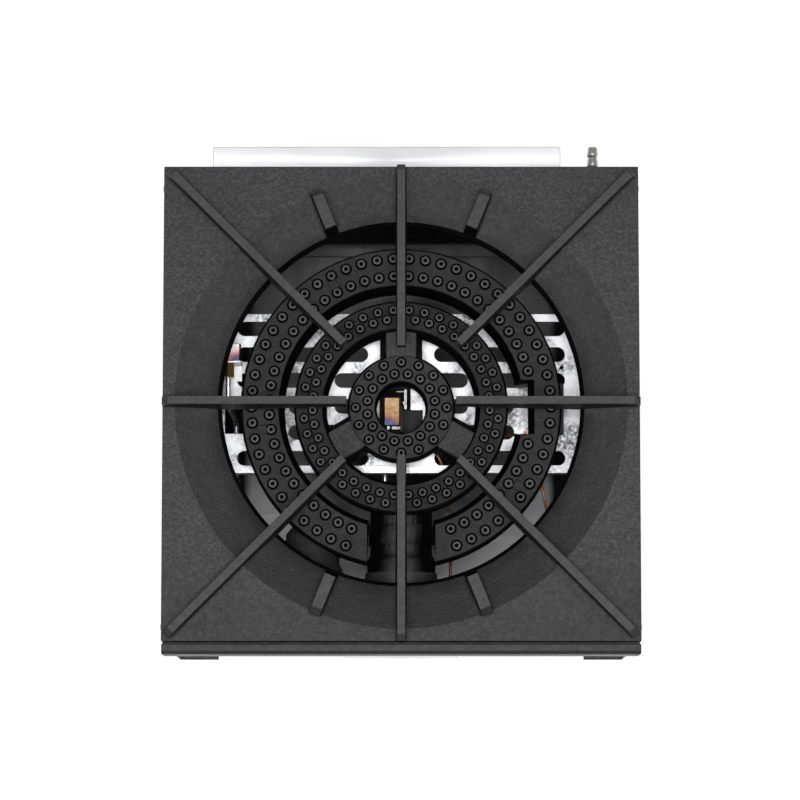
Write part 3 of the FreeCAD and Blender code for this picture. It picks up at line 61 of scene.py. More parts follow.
class Surface:
    """A material with a Principled shader, whose patterns lie in the part's own coordinates."""

    def __init__(self, name, **settings):
        self.material = bpy.data.materials.new(name)
        self.material.use_nodes = True
        self.tree = self.material.node_tree
        self.shader = self.tree.nodes["Principled BSDF"]
        self.place = self.node("ShaderNodeTexCoord").outputs["Object"]
        for key, value in settings.items():
            socket = key.replace("_", " ").title().replace("Ior", "IOR")
            self.shader.inputs[socket].default_value = value

    def node(self, kind, inputs=None, **properties):
        made = self.tree.nodes.new(kind)
        for key, value in properties.items():
            setattr(made, key, value)
        for key, value in (inputs or {}).items():
            if isinstance(value, bpy.types.NodeSocket):
                self.tree.links.new(value, made.inputs[key])
            else:
                made.inputs[key].default_value = value
        return made

    def stretched(self, stretch):
        return self.node("ShaderNodeMapping", {"Vector": self.place, "Scale": stretch}).outputs["Vector"]

    def noise(self, scale, detail=3.0, stretch=None, distortion=0.0):
        place = self.stretched(stretch) if stretch else self.place
        values = {"Vector": place, "Scale": scale, "Detail": detail, "Distortion": distortion}
        return self.node("ShaderNodeTexNoise", values).outputs["Fac"]

    def cells(self, scale):
        return self.node("ShaderNodeTexVoronoi", {"Vector": self.place, "Scale": scale}).outputs["Color"]

    def span(self, value, low, high, start=0.0, end=1.0):
        values = {"Value": value, "From Min": low, "From Max": high, "To Min": start, "To Max": end}
        return self.node("ShaderNodeMapRange", values).outputs["Result"]

    def maths(self, operation, first, second=0.0):
        made = self.node("ShaderNodeMath", {0: first, 1: second}, operation=operation)
        return made.outputs["Value"]

    def blend(self, first, share, second):
        """A sum of two values, the first with a share and the second with the rest."""
        rest = self.maths("MULTIPLY", second, 1 - share)
        return self.maths("ADD", self.maths("MULTIPLY", first, share), rest)

    def vector(self, operation, first, second=(0, 0, 0)):
        return self.node("ShaderNodeVectorMath", {0: first, 1: second}, operation=operation)

    def ramp(self, factor, *stops):
        made = self.node("ShaderNodeValToRGB", {"Fac": factor})
        elements = made.color_ramp.elements
        while len(elements) < len(stops):
            elements.new(1.0)
        for element, (position, colour) in zip(elements, stops):
            element.position = position
            element.color = (*colour, 1.0)
        return made.outputs["Color"]

    def mix(self, factor, first, second):
        made = self.node("ShaderNodeMix", {"Factor": factor}, data_type="RGBA")
        for socket, value in ((made.inputs[6], first), (made.inputs[7], second)):
            if isinstance(value, bpy.types.NodeSocket):
                self.tree.links.new(value, socket)
            else:
                socket.default_value = (*value, 1.0)
        return made.outputs[2]

    def axis(self, name):
        return self.node("ShaderNodeSeparateXYZ", {"Vector": self.place}).outputs[name]

    def upward(self):
        """How far a face looks up, from -1 to 1."""
        normal = self.node("ShaderNodeNewGeometry").outputs["Normal"]
        return self.node("ShaderNodeSeparateXYZ", {"Vector": normal}).outputs["Z"]

    def distance(self, middle):
        """How far a point lies from an upright axis, in metres."""
        away = self.vector("SUBTRACT", self.place, middle)
        flat = self.vector("MULTIPLY", away.outputs["Vector"], (1, 1, 0))
        return self.vector("LENGTH", flat.outputs["Vector"]).outputs["Value"]

    def set(self, socket, value):
        self.tree.links.new(value, self.shader.inputs[socket])

    def bump(self, *layers):
        """Heights laid over each other, each with a strength and a depth in metres."""
        normal = None
        for height, strength, depth in layers:
            values = {"Height": height, "Strength": strength, "Distance": depth}
            if normal:
                values["Normal"] = normal
            normal = self.node("ShaderNodeBump", values).outputs["Normal"]
        self.set("Normal", normal)


def grey(value):
    return (value, value, value * 1.02)


def cast_colour(skin, dark, light, grain):
    mottle = skin.ramp(skin.noise(38, 5), (0.3, grey(dark)), (0.72, grey(light)))
    specks = skin.span(skin.noise(grain, 2), 0.42, 0.72)
    return skin.mix(skin.maths("MULTIPLY", specks, 0.4), mottle, grey(light * 2.0))


def cast_skin(skin, grain, strength, rough):
    skin.set("Roughness", skin.span(skin.noise(grain * 0.4, 3), 0.3, 0.7, rough - 0.07, rough + 0.09))
    fine = (skin.noise(grain, 3), strength, 0.6 * MM)
    coarse = (skin.noise(grain * 0.22, 4), strength * 0.7, 1.2 * MM)
    skin.bump(fine, coarse)


def cast(name, dark, light, grain, strength, gloss, rough=0.56):
    """Black cast iron with a sandy skin."""
    skin = Surface(name, specular_ior_level=gloss)
    skin.set("Base Color", cast_colour(skin, dark, light, grain))
    cast_skin(skin, grain, strength, rough)
    return skin.material


def port_iron(name, dark, light, gloss):
    """Cast iron of the port plates, finer in grain than the burners below them."""
    return cast(name, dark, light, grain=560, strength=0.7, gloss=gloss)


BURNER_GRAIN = 330
HIGHLIGHT_SLOPE = 0.7


def burner_iron(name, low, high, low_tone, high_tone, crest_highlight=None, gloss=0.16):
    """Rough burner casting, with one tone on its tube below and another on its arms above.

    The highlight tone is a painted highlight along the top of the tube, paler than its sides.
    """
    skin = Surface(name, specular_ior_level=gloss)
    tube = cast_colour(skin, low_tone * 0.7, low_tone, BURNER_GRAIN)
    if crest_highlight:
        lit = skin.maths("POWER", skin.span(skin.upward(), HIGHLIGHT_SLOPE, 1.0), 3.0)
        tube = skin.mix(lit, tube, cast_colour(skin, crest_highlight * 0.7, crest_highlight, BURNER_GRAIN))
    arms = cast_colour(skin, high_tone * 0.7, high_tone, BURNER_GRAIN)
    height = skin.span(skin.axis("Z"), low * MM, high * MM)
    skin.set("Base Color", skin.mix(height, tube, arms))
    cast_skin(skin, BURNER_GRAIN, 0.9, 0.64)
    return skin.material


STAND_GRAIN = 560
SAND_GRAIN = 330
DISH_RADIUS = 217.0
DISH_BLEND = 0.6
FRONT_SHADE_EDGE = -232.0
FRONT_SHADE_END = -150.0
RUBBED_LOW = 1.2
RUBBED_HIGH = 0.3
CREASE_REACH = 6.0


def pan_stand_iron(name, dark, light, worn):
    """Cast iron with a smoother, darker dish and brighter tops where pans rub, with painted shade on its
    walls, in its creases and along its front edge.
    """
    skin = Surface(name, specular_ior_level=0.34)
    colour = cast_colour(skin, dark, light, STAND_GRAIN)
    outward = skin.distance(GRATE_MIDDLE)
    dish = skin.span(outward, (DISH_RADIUS + DISH_BLEND) * MM, (DISH_RADIUS - DISH_BLEND) * MM)
    # The pale sand fades out towards the front edge: painted shade along the front.
    sand_and_front_shade = skin.span(skin.axis("Y"), FRONT_SHADE_EDGE * MM, FRONT_SHADE_END * MM, 0.0, 0.7)
    grains = skin.span(skin.noise(SAND_GRAIN, 4), 0.45, 0.62)
    sand = skin.maths("MULTIPLY", grains, skin.maths("SUBTRACT", sand_and_front_shade, dish))
    colour = skin.mix(skin.maths("MAXIMUM", sand, 0.0), colour, grey(light * 2.2))
    colour = skin.mix(skin.maths("MULTIPLY", dish, 0.4), colour, grey(dark * 0.35))
    rubbed = skin.span(skin.axis("Z"), GRATE_TOP - RUBBED_LOW * MM, GRATE_TOP - RUBBED_HIGH * MM)
    streaks = skin.span(skin.noise(90, 4), 0.25, 0.7, 0.65, 1.0)
    colour = skin.mix(skin.maths("MULTIPLY", rubbed, streaks), colour, grey(worn))
    # Upright faces, and creases found by ambient occlusion, are darkened: painted shade.
    wall = skin.span(skin.upward(), 0.8, 0.2)
    shade = skin.node("ShaderNodeAmbientOcclusion", {"Distance": CREASE_REACH * MM}, samples=8).outputs["AO"]
    crease = skin.span(shade, 0.78, 0.55)
    painted_shade = skin.maths("MULTIPLY", skin.maths("MAXIMUM", wall, crease), 0.85)
    skin.set("Base Color", skin.mix(painted_shade, colour, grey(0.003)))
    cast_skin(skin, STAND_GRAIN, 0.8, 0.54)
    return skin.material


def painted(name, tone, rough, gloss=0.45):
    """Powder coat with a fine orange-peel skin."""
    skin = Surface(name, specular_ior_level=gloss)
    cloud = skin.noise(12, 4)
    skin.set("Base Color", skin.ramp(cloud, (0.3, grey(tone * 0.85)), (0.7, grey(tone * 1.15))))
    skin.set("Roughness", skin.span(skin.noise(150, 3), 0.3, 0.7, rough - 0.05, rough + 0.07))
    skin.bump((skin.noise(1300, 2), 0.22, 0.3 * MM), (skin.noise(300, 2), 0.1, 0.5 * MM))
    return skin.material


def galvanised(name, dull, bright):
    """Zinc-coated sheet: crystal spangle, fine grime in patches and small scratches."""
    skin = Surface(name, metallic=1.0)
    spangle = skin.node("ShaderNodeSeparateColor", {"Color": skin.cells(210)}).outputs["Red"]
    patches = skin.span(skin.noise(21, 4, distortion=1.0), 0.46, 0.64)
    grime = skin.span(skin.noise(330, 5), 0.36, 0.6)
    dirt = skin.maths("MULTIPLY", patches, grime)
    clean = skin.ramp(spangle, (0.1, grey(bright * 0.88)), (0.9, grey(bright)))
    skin.set("Base Color", skin.mix(skin.maths("MULTIPLY", dirt, 0.9), clean, grey(dull)))
    skin.set("Roughness", skin.span(dirt, 0.0, 1.0, 0.5, 0.62))
    scratches = skin.noise(220, 2, stretch=(0.12, 1.0, 1.0), distortion=0.4)
    waves = skin.noise(60, 3)
    skin.bump((spangle, 0.05, 0.4 * MM), (scratches, 0.12, 0.3 * MM), (waves, 0.12, 0.6 * MM))
    return skin.material


BRUSHED = (0.02, 1.0, 1.0)


def brushed(name, dull, bright, rough):
    """Stainless sheet brushed in one direction."""
    skin = Surface(name, metallic=1.0, anisotropic=0.4)
    lines = skin.noise(900, 3, stretch=BRUSHED)
    cloud = skin.noise(9, 4)
    tone = skin.blend(lines, 0.4, cloud)
    skin.set("Base Color", skin.ramp(tone, (0.35, grey(dull)), (0.65, grey(bright))))
    skin.set("Roughness", skin.span(lines, 0.3, 0.7, rough - 0.06, rough + 0.1))
    skin.bump((lines, 0.1, 0.2 * MM), (cloud, 0.12, 2 * MM))
    return skin.material


SHADE_EDGE = 160.0
SHADE_BLEND = 8.0
SHADE_WANDER = 4.0
SHADE_BEHIND = (5.0, 12.0)
PATCH_WANDER = 16.0
BURNER_SHADE = (72.0, 44.0)
BEYOND_FLAMES = (96.0, 158.0)
LIT_PATCH_SPAN = (70.0, -70.0)
UNDER_FRONT = -90.0


def shaded_tray(name, dull, bright):
    """Steel tray darkened overall as painted shade, with painted reflections in soft bands, painted shade
    near and in front of the burners' axis, a painted pool of light towards the front and sides, and its
    sides black with painted shade behind its front face.
    """
    skin = Surface(name, metallic=1.0)
    lines = skin.noise(700, 3, stretch=BRUSHED)
    # Soft bands across the tray are painted reflections.
    bands = skin.noise(16, 3, stretch=(1.0, 0.08, 1.0), distortion=0.4)
    clean = skin.ramp(skin.blend(lines, 0.15, bands), (0.34, grey(dull)), (0.62, grey(bright)))
    along = skin.axis("Y")
    # Painted shade near and in front of the burners' axis, and a painted pool of light beyond them towards
    # the front, with wandering edges.
    patch_wander = skin.span(skin.noise(13, 4, distortion=0.6), 0.3, 0.7, -PATCH_WANDER * MM, PATCH_WANDER * MM)
    away = skin.maths("ADD", skin.distance(Vector((BURNER_X, BURNER_Y, 0)) * MM), patch_wander)
    beyond = skin.span(away, BEYOND_FLAMES[0] * MM, BEYOND_FLAMES[1] * MM)
    lit_patch = skin.maths("MULTIPLY", beyond, skin.span(along, LIT_PATCH_SPAN[0] * MM, LIT_PATCH_SPAN[1] * MM))
    forward = skin.span(along, 0.0, UNDER_FRONT * MM, 0.0, 0.65)
    under = skin.maths("MULTIPLY", forward, skin.maths("SUBTRACT", 1.0, beyond))
    clean = skin.mix(under, clean, grey(dull * 0.4))
    burner_shade = skin.span(away, BURNER_SHADE[0] * MM, BURNER_SHADE[1] * MM, 0.0, 0.9)
    clean = skin.mix(burner_shade, clean, grey(dull * 0.1))
    clean = skin.mix(skin.maths("MULTIPLY", lit_patch, 0.75), clean, grey(bright * 2.2))
    # Painted shade on the sides behind the front face.
    wander = skin.span(skin.noise(14, 3), 0.3, 0.7, -SHADE_WANDER * MM, SHADE_WANDER * MM)
    outward = skin.maths("ADD", skin.maths("ABSOLUTE", skin.axis("X")), wander)
    painted_shade = skin.span(outward, (SHADE_EDGE - SHADE_BLEND) * MM, SHADE_EDGE * MM)
    behind = skin.span(along, (TRAY_FACE + SHADE_BEHIND[0]) * MM, (TRAY_FACE + SHADE_BEHIND[1]) * MM)
    skin.set("Base Color", skin.mix(skin.maths("MULTIPLY", painted_shade, behind), clean, grey(0.012)))
    skin.set("Roughness", skin.span(lines, 0.3, 0.7, 0.34, 0.46))
    skin.bump((lines, 0.05, 0.2 * MM), (skin.noise(9, 4), 0.12, 2 * MM))
    return skin.material


def metal(name, dull, bright, rough):
    """Turned or drawn metal with tarnish in patches."""
    skin = Surface(name, metallic=1.0)
    tarnish = skin.noise(70, 5, distortion=0.6)
    skin.set("Base Color", skin.ramp(tarnish, (0.32, dull), (0.62, bright)))
    skin.set("Roughness", skin.span(tarnish, 0.3, 0.7, rough + 0.14, rough))
    skin.bump((skin.noise(420, 3), 0.12, 0.3 * MM))
    return skin.material


def tinted(name, node, sideways, stops):
    """Steel coloured by heat in bands from the front of a hood to its rear, slanted across its width."""
    low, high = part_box(node)
    skin = Surface(name, metallic=1.0)
    along = skin.span(skin.axis("Y"), low.y, high.y, 0.0, 1.0 - abs(sideways))
    across = skin.span(skin.axis("X"), low.x, high.x, max(0.0, -sideways), max(0.0, sideways))
    wander = skin.span(skin.noise(110, 2, distortion=0.5), 0.3, 0.7, -0.06, 0.06)
    place = skin.maths("ADD", skin.maths("ADD", along, across), wander)
    skin.set("Base Color", skin.ramp(place, *stops))
    skin.set("Roughness", skin.span(skin.noise(300, 3), 0.3, 0.7, 0.34, 0.5))
    skin.bump((skin.noise(500, 3), 0.12, 0.3 * MM))
    return skin.material


def moulded(name, tone, rough):
    """Moulded plastic or print with a fine grain."""
    skin = Surface(name, specular_ior_level=0.5)
    cloud = skin.noise(45, 3)
    skin.set("Base Color", skin.ramp(cloud, (0.3, grey(tone * 0.8)), (0.7, grey(tone * 1.25))))
    skin.set("Roughness", skin.span(skin.noise(220, 3), 0.3, 0.7, rough - 0.05, rough + 0.08))
    skin.bump((skin.noise(1500, 2), 0.15, 0.2 * MM))
    return skin.material


iron_stand = pan_stand_iron("iron_stand", dark=0.013, light=0.024, worn=0.042)
# The three port plates share one iron in different tones; the middle plate's darker tone is painted shade.
outer_plate_iron = port_iron("outer_plate_iron", dark=0.0105, light=0.02, gloss=0.2)
middle_plate_iron = port_iron("middle_plate_iron", dark=0.008, light=0.016, gloss=0.15)
centre_plate_iron = port_iron("centre_plate_iron", dark=0.012, light=0.0225, gloss=0.24)
iron_boss = cast("iron_boss", dark=0.045, light=0.084, grain=900, strength=0.5, gloss=0.35)
# Near-black iron used as painted shade in grooves, bores, plate sides, pad outlines, channels, the hole's
# rim and the rib toes.
painted_shade_iron = cast("painted_shade_iron", dark=0.0014, light=0.003, grain=500, strength=0.5, gloss=0.03, rough=0.8)
# The inner burner's near-black tube is painted shade, and the paler tone along its top is a painted
# highlight.
inner_iron = burner_iron("inner_iron", low=543.0, high=548.0, low_tone=0.001, high_tone=0.055,
                         crest_highlight=0.08, gloss=0.08)
outer_iron = burner_iron("outer_iron", low=528.0, high=545.0, low_tone=0.03, high_tone=0.02)
black_coat = painted("black_coat", tone=0.03, rough=0.46)
# The baffle's and the rail's coats are darker copies of the black coat: painted shade.
baffle_coat = painted("baffle_coat", tone=0.004, rough=0.6, gloss=0.1)
rail_coat = painted("rail_coat", tone=0.02, rough=0.46, gloss=0.25)
bright_sheet = galvanised("bright_sheet", dull=0.1, bright=0.74)
dull_sheet = galvanised("dull_sheet", dull=0.1, bright=0.5)
stainless = brushed("stainless", dull=0.62, bright=0.8, rough=0.32)
standoff_steel = brushed("standoff_steel", dull=0.54, bright=0.64, rough=0.42)
tray_steel = shaded_tray("tray_steel", dull=0.07, bright=0.18)
bracket_dark = painted("bracket_dark", tone=0.018, rough=0.5, gloss=0.15)
brass = metal("brass", dull=(0.42, 0.27, 0.09), bright=(0.78, 0.58, 0.26), rough=0.26)
nickel = metal("nickel", dull=(0.36, 0.36, 0.35), bright=(0.62, 0.61, 0.58), rough=0.3)
silver = metal("silver", dull=(0.56, 0.57, 0.58), bright=(0.86, 0.87, 0.88), rough=0.24)
clip_steel = metal("clip_steel", dull=(0.06, 0.06, 0.06), bright=(0.2, 0.2, 0.195), rough=0.2)
copper = metal("copper", dull=(0.2, 0.09, 0.05), bright=(0.5, 0.26, 0.15), rough=0.34)
steel_rod = metal("steel_rod", dull=(0.4, 0.4, 0.41), bright=(0.66, 0.66, 0.67), rough=0.28)
zinc = metal("zinc", dull=(0.46, 0.47, 0.48), bright=(0.68, 0.69, 0.7), rough=0.34)
knob_black = moulded("knob_black", tone=0.02, rough=0.42)
mark_white = moulded("mark_white", tone=0.62, rough=0.5)
dial_satin = brushed("dial_satin", dull=0.5, bright=0.66, rough=0.38)
dial_ink = moulded("dial_ink", tone=0.02, rough=0.55)

TAN = (0.2, 0.13, 0.075)
BRONZE = (0.155, 0.082, 0.038)
ROSE = (0.3, 0.13, 0.12)
PURPLE = (0.07, 0.038, 0.075)
BLUE = (0.022, 0.064, 0.11)
PALE = (0.58, 0.58, 0.6)
LEFT_BANDS = ((0.08, BLUE), (0.24, PURPLE), (0.42, ROSE), (0.62, PALE))
MIDDLE_BANDS = ((0.07, BLUE), (0.2, PURPLE), (0.36, BRONZE), (0.72, TAN))
hood_left = tinted("hood_left", "outer_pilot_hood", -0.4, LEFT_BANDS)
hood_middle = tinted("hood_middle", "centre_pilot_hood", 0.2, MIDDLE_BANDS)

FINISHES = {
    iron_stand: ("top_grate",),
    inner_iron: ("inner_burner_base",),
    outer_iron: ("outer_burner_base",),
    black_coat: ("left_side_panel", "right_side_panel", "rear_panel", "control_panel", "lower_front_panel",
                 "leg_front_left", "leg_front_right", "leg_rear_left", "leg_rear_right", "gas_manifold",
                 "manifold_plug", "outer_air_shutter", "inner_air_shutter"),
    baffle_coat: ("rear_baffle",),
    rail_coat: ("front_rail",),
    bright_sheet: ("burner_support", "outer_pilot_bracket"),
    dull_sheet: ("support_bracket_left", "support_bracket_right", "tray_runner_left", "tray_runner_right"),
    stainless: ("tray_pull",),
    standoff_steel: ("rear_standoff",),
    tray_steel: ("drip_tray",),
    bracket_dark: ("centre_pilot_bracket",),
    brass: ("outer_valve", "inner_valve", "outer_jet", "inner_jet", "outer_pilot_burner",
            "centre_pilot_burner", "outer_pilot_valve", "centre_pilot_valve"),
    nickel: ("gas_inlet", "inlet_nut"),
    silver: ("outer_pilot_tube", "centre_pilot_tube"),
    copper: ("outer_sensor_tube", "centre_sensor_tube"),
    hood_left: ("outer_pilot_hood",),
    hood_middle: ("centre_pilot_hood",),
    knob_black: ("outer_knob", "inner_knob"),
    steel_rod: ("outer_stem", "inner_stem"),
    dial_satin: ("outer_dial", "inner_dial"),
    zinc: ("foot_front_left", "foot_front_right", "foot_rear_left", "foot_rear_right"),
}
for finish, members in FINISHES.items():
    for member in members:
        nodes[member].data.materials.clear()
        nodes[member].data.materials.append(finish)

WELD_REACH = 0.01
SHARP_ANGLE = 34.0
TUBE_EDGE = 0.4
TUBE_ANGLE = 18.0
EDGES = {
    1.3: ("top_grate",),
    2.0: ("outer_burner_base", "inner_burner_base"),
    0.9: ("front_rail", "outer_knob", "inner_knob"),
    0.5: ("burner_support", "drip_tray", "control_panel", "lower_front_panel", "left_side_panel",
          "right_side_panel", "rear_panel", "rear_baffle", "rear_standoff", "support_bracket_left",
          "support_bracket_right", "tray_pull", "outer_pilot_hood", "centre_pilot_hood"),
}
TUBES = ("outer_pilot_tube", "centre_pilot_tube", "outer_sensor_tube", "centre_sensor_tube")


def soften(node, width, angle=SHARP_ANGLE):
    """Rounds the hard edges of a solid."""
    weld = nodes[node].modifiers.new("weld", "WELD")
    weld.merge_threshold = WELD_REACH * MM
    bevel = nodes[node].modifiers.new("bevel", "BEVEL")
    bevel.width = width * MM
    bevel.segments = 2
    bevel.limit_method = "ANGLE"
    bevel.angle_limit = math.radians(angle)
    bevel.use_clamp_overlap = True
    bevel.harden_normals = True


for width, members in EDGES.items():
    for member in members:
        soften(member, width)
for member in TUBES:
    soften(member, TUBE_EDGE, TUBE_ANGLE)


def piece(name, mesh, body, materials):
    for material in materials:
        mesh.materials.append(material)
    made = bpy.data.objects.new(name, mesh)
    scene.collection.objects.link(made)
    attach(made, body)
    return made


def mesh_from(bm, name, smooth=40.0):
    bmesh.ops.recalc_face_normals(bm, faces=bm.faces)
    mesh = bpy.data.meshes.new(name)
    bm.to_mesh(mesh)
    bm.free()
    for polygon in mesh.polygons:
        polygon.use_smooth = True
    mesh.set_sharp_from_angle(angle=math.radians(smooth))
    return mesh


def add_lathe(bm, profile, matrix, segments=24, bands=None):
    """A turned form from (radius, height) points, with a material number for each band."""
    rings = []
    for radius, height in profile:
        if radius == 0:
            rings.append([bm.verts.new(matrix @ Vector((0, 0, height * MM)))])
            continue
        ring = []
        for index in range(segments):
            turn = 2 * math.pi * index / segments
            spot = Vector((radius * math.cos(turn), radius * math.sin(turn), height)) * MM
            ring.append(bm.verts.new(matrix @ spot))
        rings.append(ring)
    bands = bands or [0] * (len(profile) - 1)
    for before, after, band in zip(rings, rings[1:], bands):
        for index in range(segments):
            follow = (index + 1) % segments
            if len(before) == 1:
                corners = (before[0], after[follow], after[index])
            elif len(after) == 1:
                corners = (before[index], before[follow], after[0])
            else:
                corners = (before[index], before[follow], after[follow], after[index])
            bm.faces.new(corners).material_index = band


def add_loft(bm, rows):
    """A closed form through rows of points with as many points each."""
    for upper, lower in zip(rows, rows[1:]):
        for index in range(len(upper)):
            follow = (index + 1) % len(upper)
            bm.faces.new((upper[index], upper[follow], lower[follow], lower[index]))
    bm.faces.new(rows[0])
    bm.faces.new(rows[-1])


def add_block(bm, matrix, size, band=0):
    """A block with its middle at a place."""
    stretch = Matrix.Diagonal((*(Vector(size) * MM), 1))
    made = bmesh.ops.create_cube(bm, size=1.0, matrix=matrix @ stretch)
    for vert in made["verts"]:
        for face in vert.link_faces:
            face.material_index = band


def round_edges(bm):
    bmesh.ops.bevel(bm, geom=bm.edges[:], offset=0.25 * MM, segments=2, affect="EDGES")


def at(x, y, z):
    return Matrix.Translation(Vector((x, y, z)) * MM)


def facing(x, y, z, direction):
    """A place whose local Z points along a direction."""
    turn = Vector((0, 0, 1)).rotation_difference(Vector(direction))
    return at(x, y, z) @ turn.to_matrix().to_4x4()


def box_face(node, axis, high):
    """Where a solid's lowest or highest face lies along an axis."""
    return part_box(node)[1 if high else 0][axis] / MM


ARC_STEP = 3.0


def on_circle(radius, turns):
    return [(radius * math.cos(turn), radius * math.sin(turn)) for turn in turns]


def circle(radius, steps):
    return on_circle(radius, [2 * math.pi * index / steps for index in range(steps)])


def arc(radius, start, end):
    count = max(2, round(abs(end - start) / ARC_STEP))
    turns = [math.radians(start + (end - start) * index / count) for index in range(count + 1)]
    return on_circle(radius, turns)


def port_row(radius, count, first, pitch, skipped=()):
    turns = [math.radians(first + pitch * index) for index in range(count) if index not in skipped]
    return on_circle(radius, turns)


def filled_plate(name, loops, low, high, edge):
    """A flat plate with holes and rounded edges, from closed loops round the burners' axis."""
    curve = bpy.data.curves.new(name, "CURVE")
    curve.dimensions = "2D"
    curve.fill_mode = "BOTH"
    curve.extrude = ((high - low) / 2 - edge) * MM
    curve.bevel_depth = edge * MM
    curve.bevel_resolution = 2
    curve.offset = -edge * MM
    for loop in loops:
        spline = curve.splines.new("POLY")
        spline.points.add(len(loop) - 1)
        for point, (x, y) in zip(spline.points, loop):
            point.co = (x * MM, y * MM, 0, 1)
        spline.use_cyclic_u = True
    holder = bpy.data.objects.new(name, curve)
    scene.collection.objects.link(holder)
    bpy.context.view_layer.update()
    mesh = bpy.data.meshes.new_from_object(holder.evaluated_get(bpy.context.evaluated_depsgraph_get()))
    bpy.data.objects.remove(holder)
    mesh.transform(at(BURNER_X, BURNER_Y, (low + high) / 2))
    return mesh


PALE_TOP = 1
SHADE_BAND = 2
EDGE_SLOPE = 0.95
PLATE_THICK = 6.0
PLATE_EDGE = 0.65
GROOVE_DEPTH = 2.6
BOSS_RISE = 2.9
BORE_DEPTH = 4.5
PAD_WIDTH = 8.2
PAD_GAP = 1.0


def port_plate(name, node, iron, outline, ports, boss, bore, top, groove=1.4, pads=()):
    """Port plate with a turned boss in a groove at each gas port, and square pads between the rows. The
    grooves, bores, plate sides and pad outlines are near-black painted shade, and the boss tops take a paler
    iron.
    """
    well = boss + groove
    loops = list(outline) + [[(x + dx, y + dy) for dx, dy in circle(well, 24)] for x, y in ports]
    mesh = filled_plate(name, loops, top - PLATE_THICK, top, PLATE_EDGE)
    bm = bmesh.new()
    bm.from_mesh(mesh)
    for face in bm.faces:
        # Plate sides take the painted shade.
        face.material_index = 0 if face.normal.z > EDGE_SLOPE else SHADE_BAND
    profile = [
        (well + 0.3, -GROOVE_DEPTH),
        (boss + 0.15, -GROOVE_DEPTH),
        (boss, BOSS_RISE - 1.0),
        (boss - 0.2, BOSS_RISE - 0.4),
        (boss - 0.6, BOSS_RISE - 0.1),
        (bore + 0.5, BOSS_RISE),
        (bore + 0.1, BOSS_RISE - 0.1),
        (bore, BOSS_RISE - 0.5),
        (bore, -BORE_DEPTH),
        (0, -BORE_DEPTH),
    ]
    # Groove floor, boss foot and bore are painted shade; the boss tops take the paler iron.
    bands = (SHADE_BAND, SHADE_BAND, PALE_TOP, PALE_TOP, PALE_TOP, PALE_TOP, PALE_TOP, SHADE_BAND, SHADE_BAND)
    for x, y in ports:
        add_lathe(bm, profile, at(BURNER_X + x, BURNER_Y + y, top), bands=bands)
    for radius, angle in pads:
        turn = math.radians(angle)
        spot = at(BURNER_X + radius * math.cos(turn), BURNER_Y + radius * math.sin(turn), top)
        spot = spot @ Matrix.Rotation(turn, 4, "Z")
        add_block(bm, spot, (PAD_WIDTH + PAD_GAP, PAD_WIDTH + PAD_GAP, 0.5), SHADE_BAND)
        add_block(bm, spot, (PAD_WIDTH, PAD_WIDTH, 0.9))
    finishes = (iron, iron_boss, painted_shade_iron)
    made = piece(name, mesh_from(bm, name), "stove", finishes)
    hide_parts(node)


OUTER_RADIUS = 153.0
OUTER_BORE = 118.0
MIDDLE_RADIUS = 101.5
MIDDLE_BORE = 76.0
CENTRE_RADIUS = 50.2
CENTRE_BORE = 25.5
CENTRE_DROP = 6.0
HALF_GAP = 32.5
HALF_NOTCH = 26.0
NOTCH_REACH = 128.0


def ring_outline(outside, bore):
    return [circle(outside, 120), circle(bore, 96)]


def outer_outline(grow=0.0, flare=0.0):
    """A ring open at the front for the inner mixing tube, with a notch in its right side."""
    wide = math.degrees(math.asin(HALF_GAP / OUTER_RADIUS))
    narrow = math.degrees(math.asin(HALF_GAP / OUTER_BORE))
    step = math.degrees(math.asin(HALF_NOTCH / OUTER_BORE))
    bore = OUTER_BORE - flare
    reach = NOTCH_REACH - flare
    loop = arc(OUTER_RADIUS + grow, FRONT + wide - 360, FRONT - wide)
    loop += arc(bore, FRONT - narrow, step)
    loop += [(reach, HALF_NOTCH), (reach, -HALF_NOTCH)]
    loop += arc(bore, -step, FRONT + narrow - 360)
    return loop


def gapped_row(radius, count, pitch, skipped=()):
    """A row of ports that leaves its gap evenly on both sides of the front."""
    return port_row(radius, count, FRONT + (360 - pitch * (count - 1)) / 2, pitch, skipped)


NOTCH_PORTS = range(9, 13)
PAD_RADIUS = 135.6
PAD_ANGLES = (118.7, 189.5, 326.0)
outer_ports = gapped_row(radius=144.1, count=52, pitch=6.21)
outer_ports += gapped_row(radius=127.1, count=50, pitch=6.45, skipped=NOTCH_PORTS)
outer_pads = [(PAD_RADIUS, angle) for angle in PAD_ANGLES]
port_plate("outer_port_plate", "outer_burner_cap", outer_plate_iron, [outer_outline()], outer_ports,
           boss=3.95, bore=1.95, top=PLATE_TOP, pads=outer_pads)
MIDDLE_COUNT = 39
middle_pitch = 360 / MIDDLE_COUNT
middle_ports = port_row(94.0, MIDDLE_COUNT, FRONT, middle_pitch)
middle_ports += port_row(85.3, MIDDLE_COUNT, BACK, middle_pitch)
port_plate("middle_port_plate", "middle_burner_cap", middle_plate_iron,
           ring_outline(MIDDLE_RADIUS, MIDDLE_BORE), middle_ports,
           boss=3.7, bore=1.85, top=PLATE_TOP, groove=1.1)
CENTRE_COUNT = 16
centre_pitch = 360 / CENTRE_COUNT
centre_ports = port_row(44.0, CENTRE_COUNT, BACK, centre_pitch)
centre_ports += port_row(33.1, CENTRE_COUNT, BACK + centre_pitch / 2, centre_pitch)
port_plate("centre_port_plate", "centre_burner_cap", centre_plate_iron,
           ring_outline(CENTRE_RADIUS, CENTRE_BORE), centre_ports,
           boss=3.5, bore=1.75, top=PLATE_TOP - CENTRE_DROP)

CHANNEL_LOW = 527.5
CHANNEL_GROW = 1.8
CHANNEL_SHOULDER = 9.0
CAP_LOW = PLATE_TOP - PLATE_THICK - 0.1


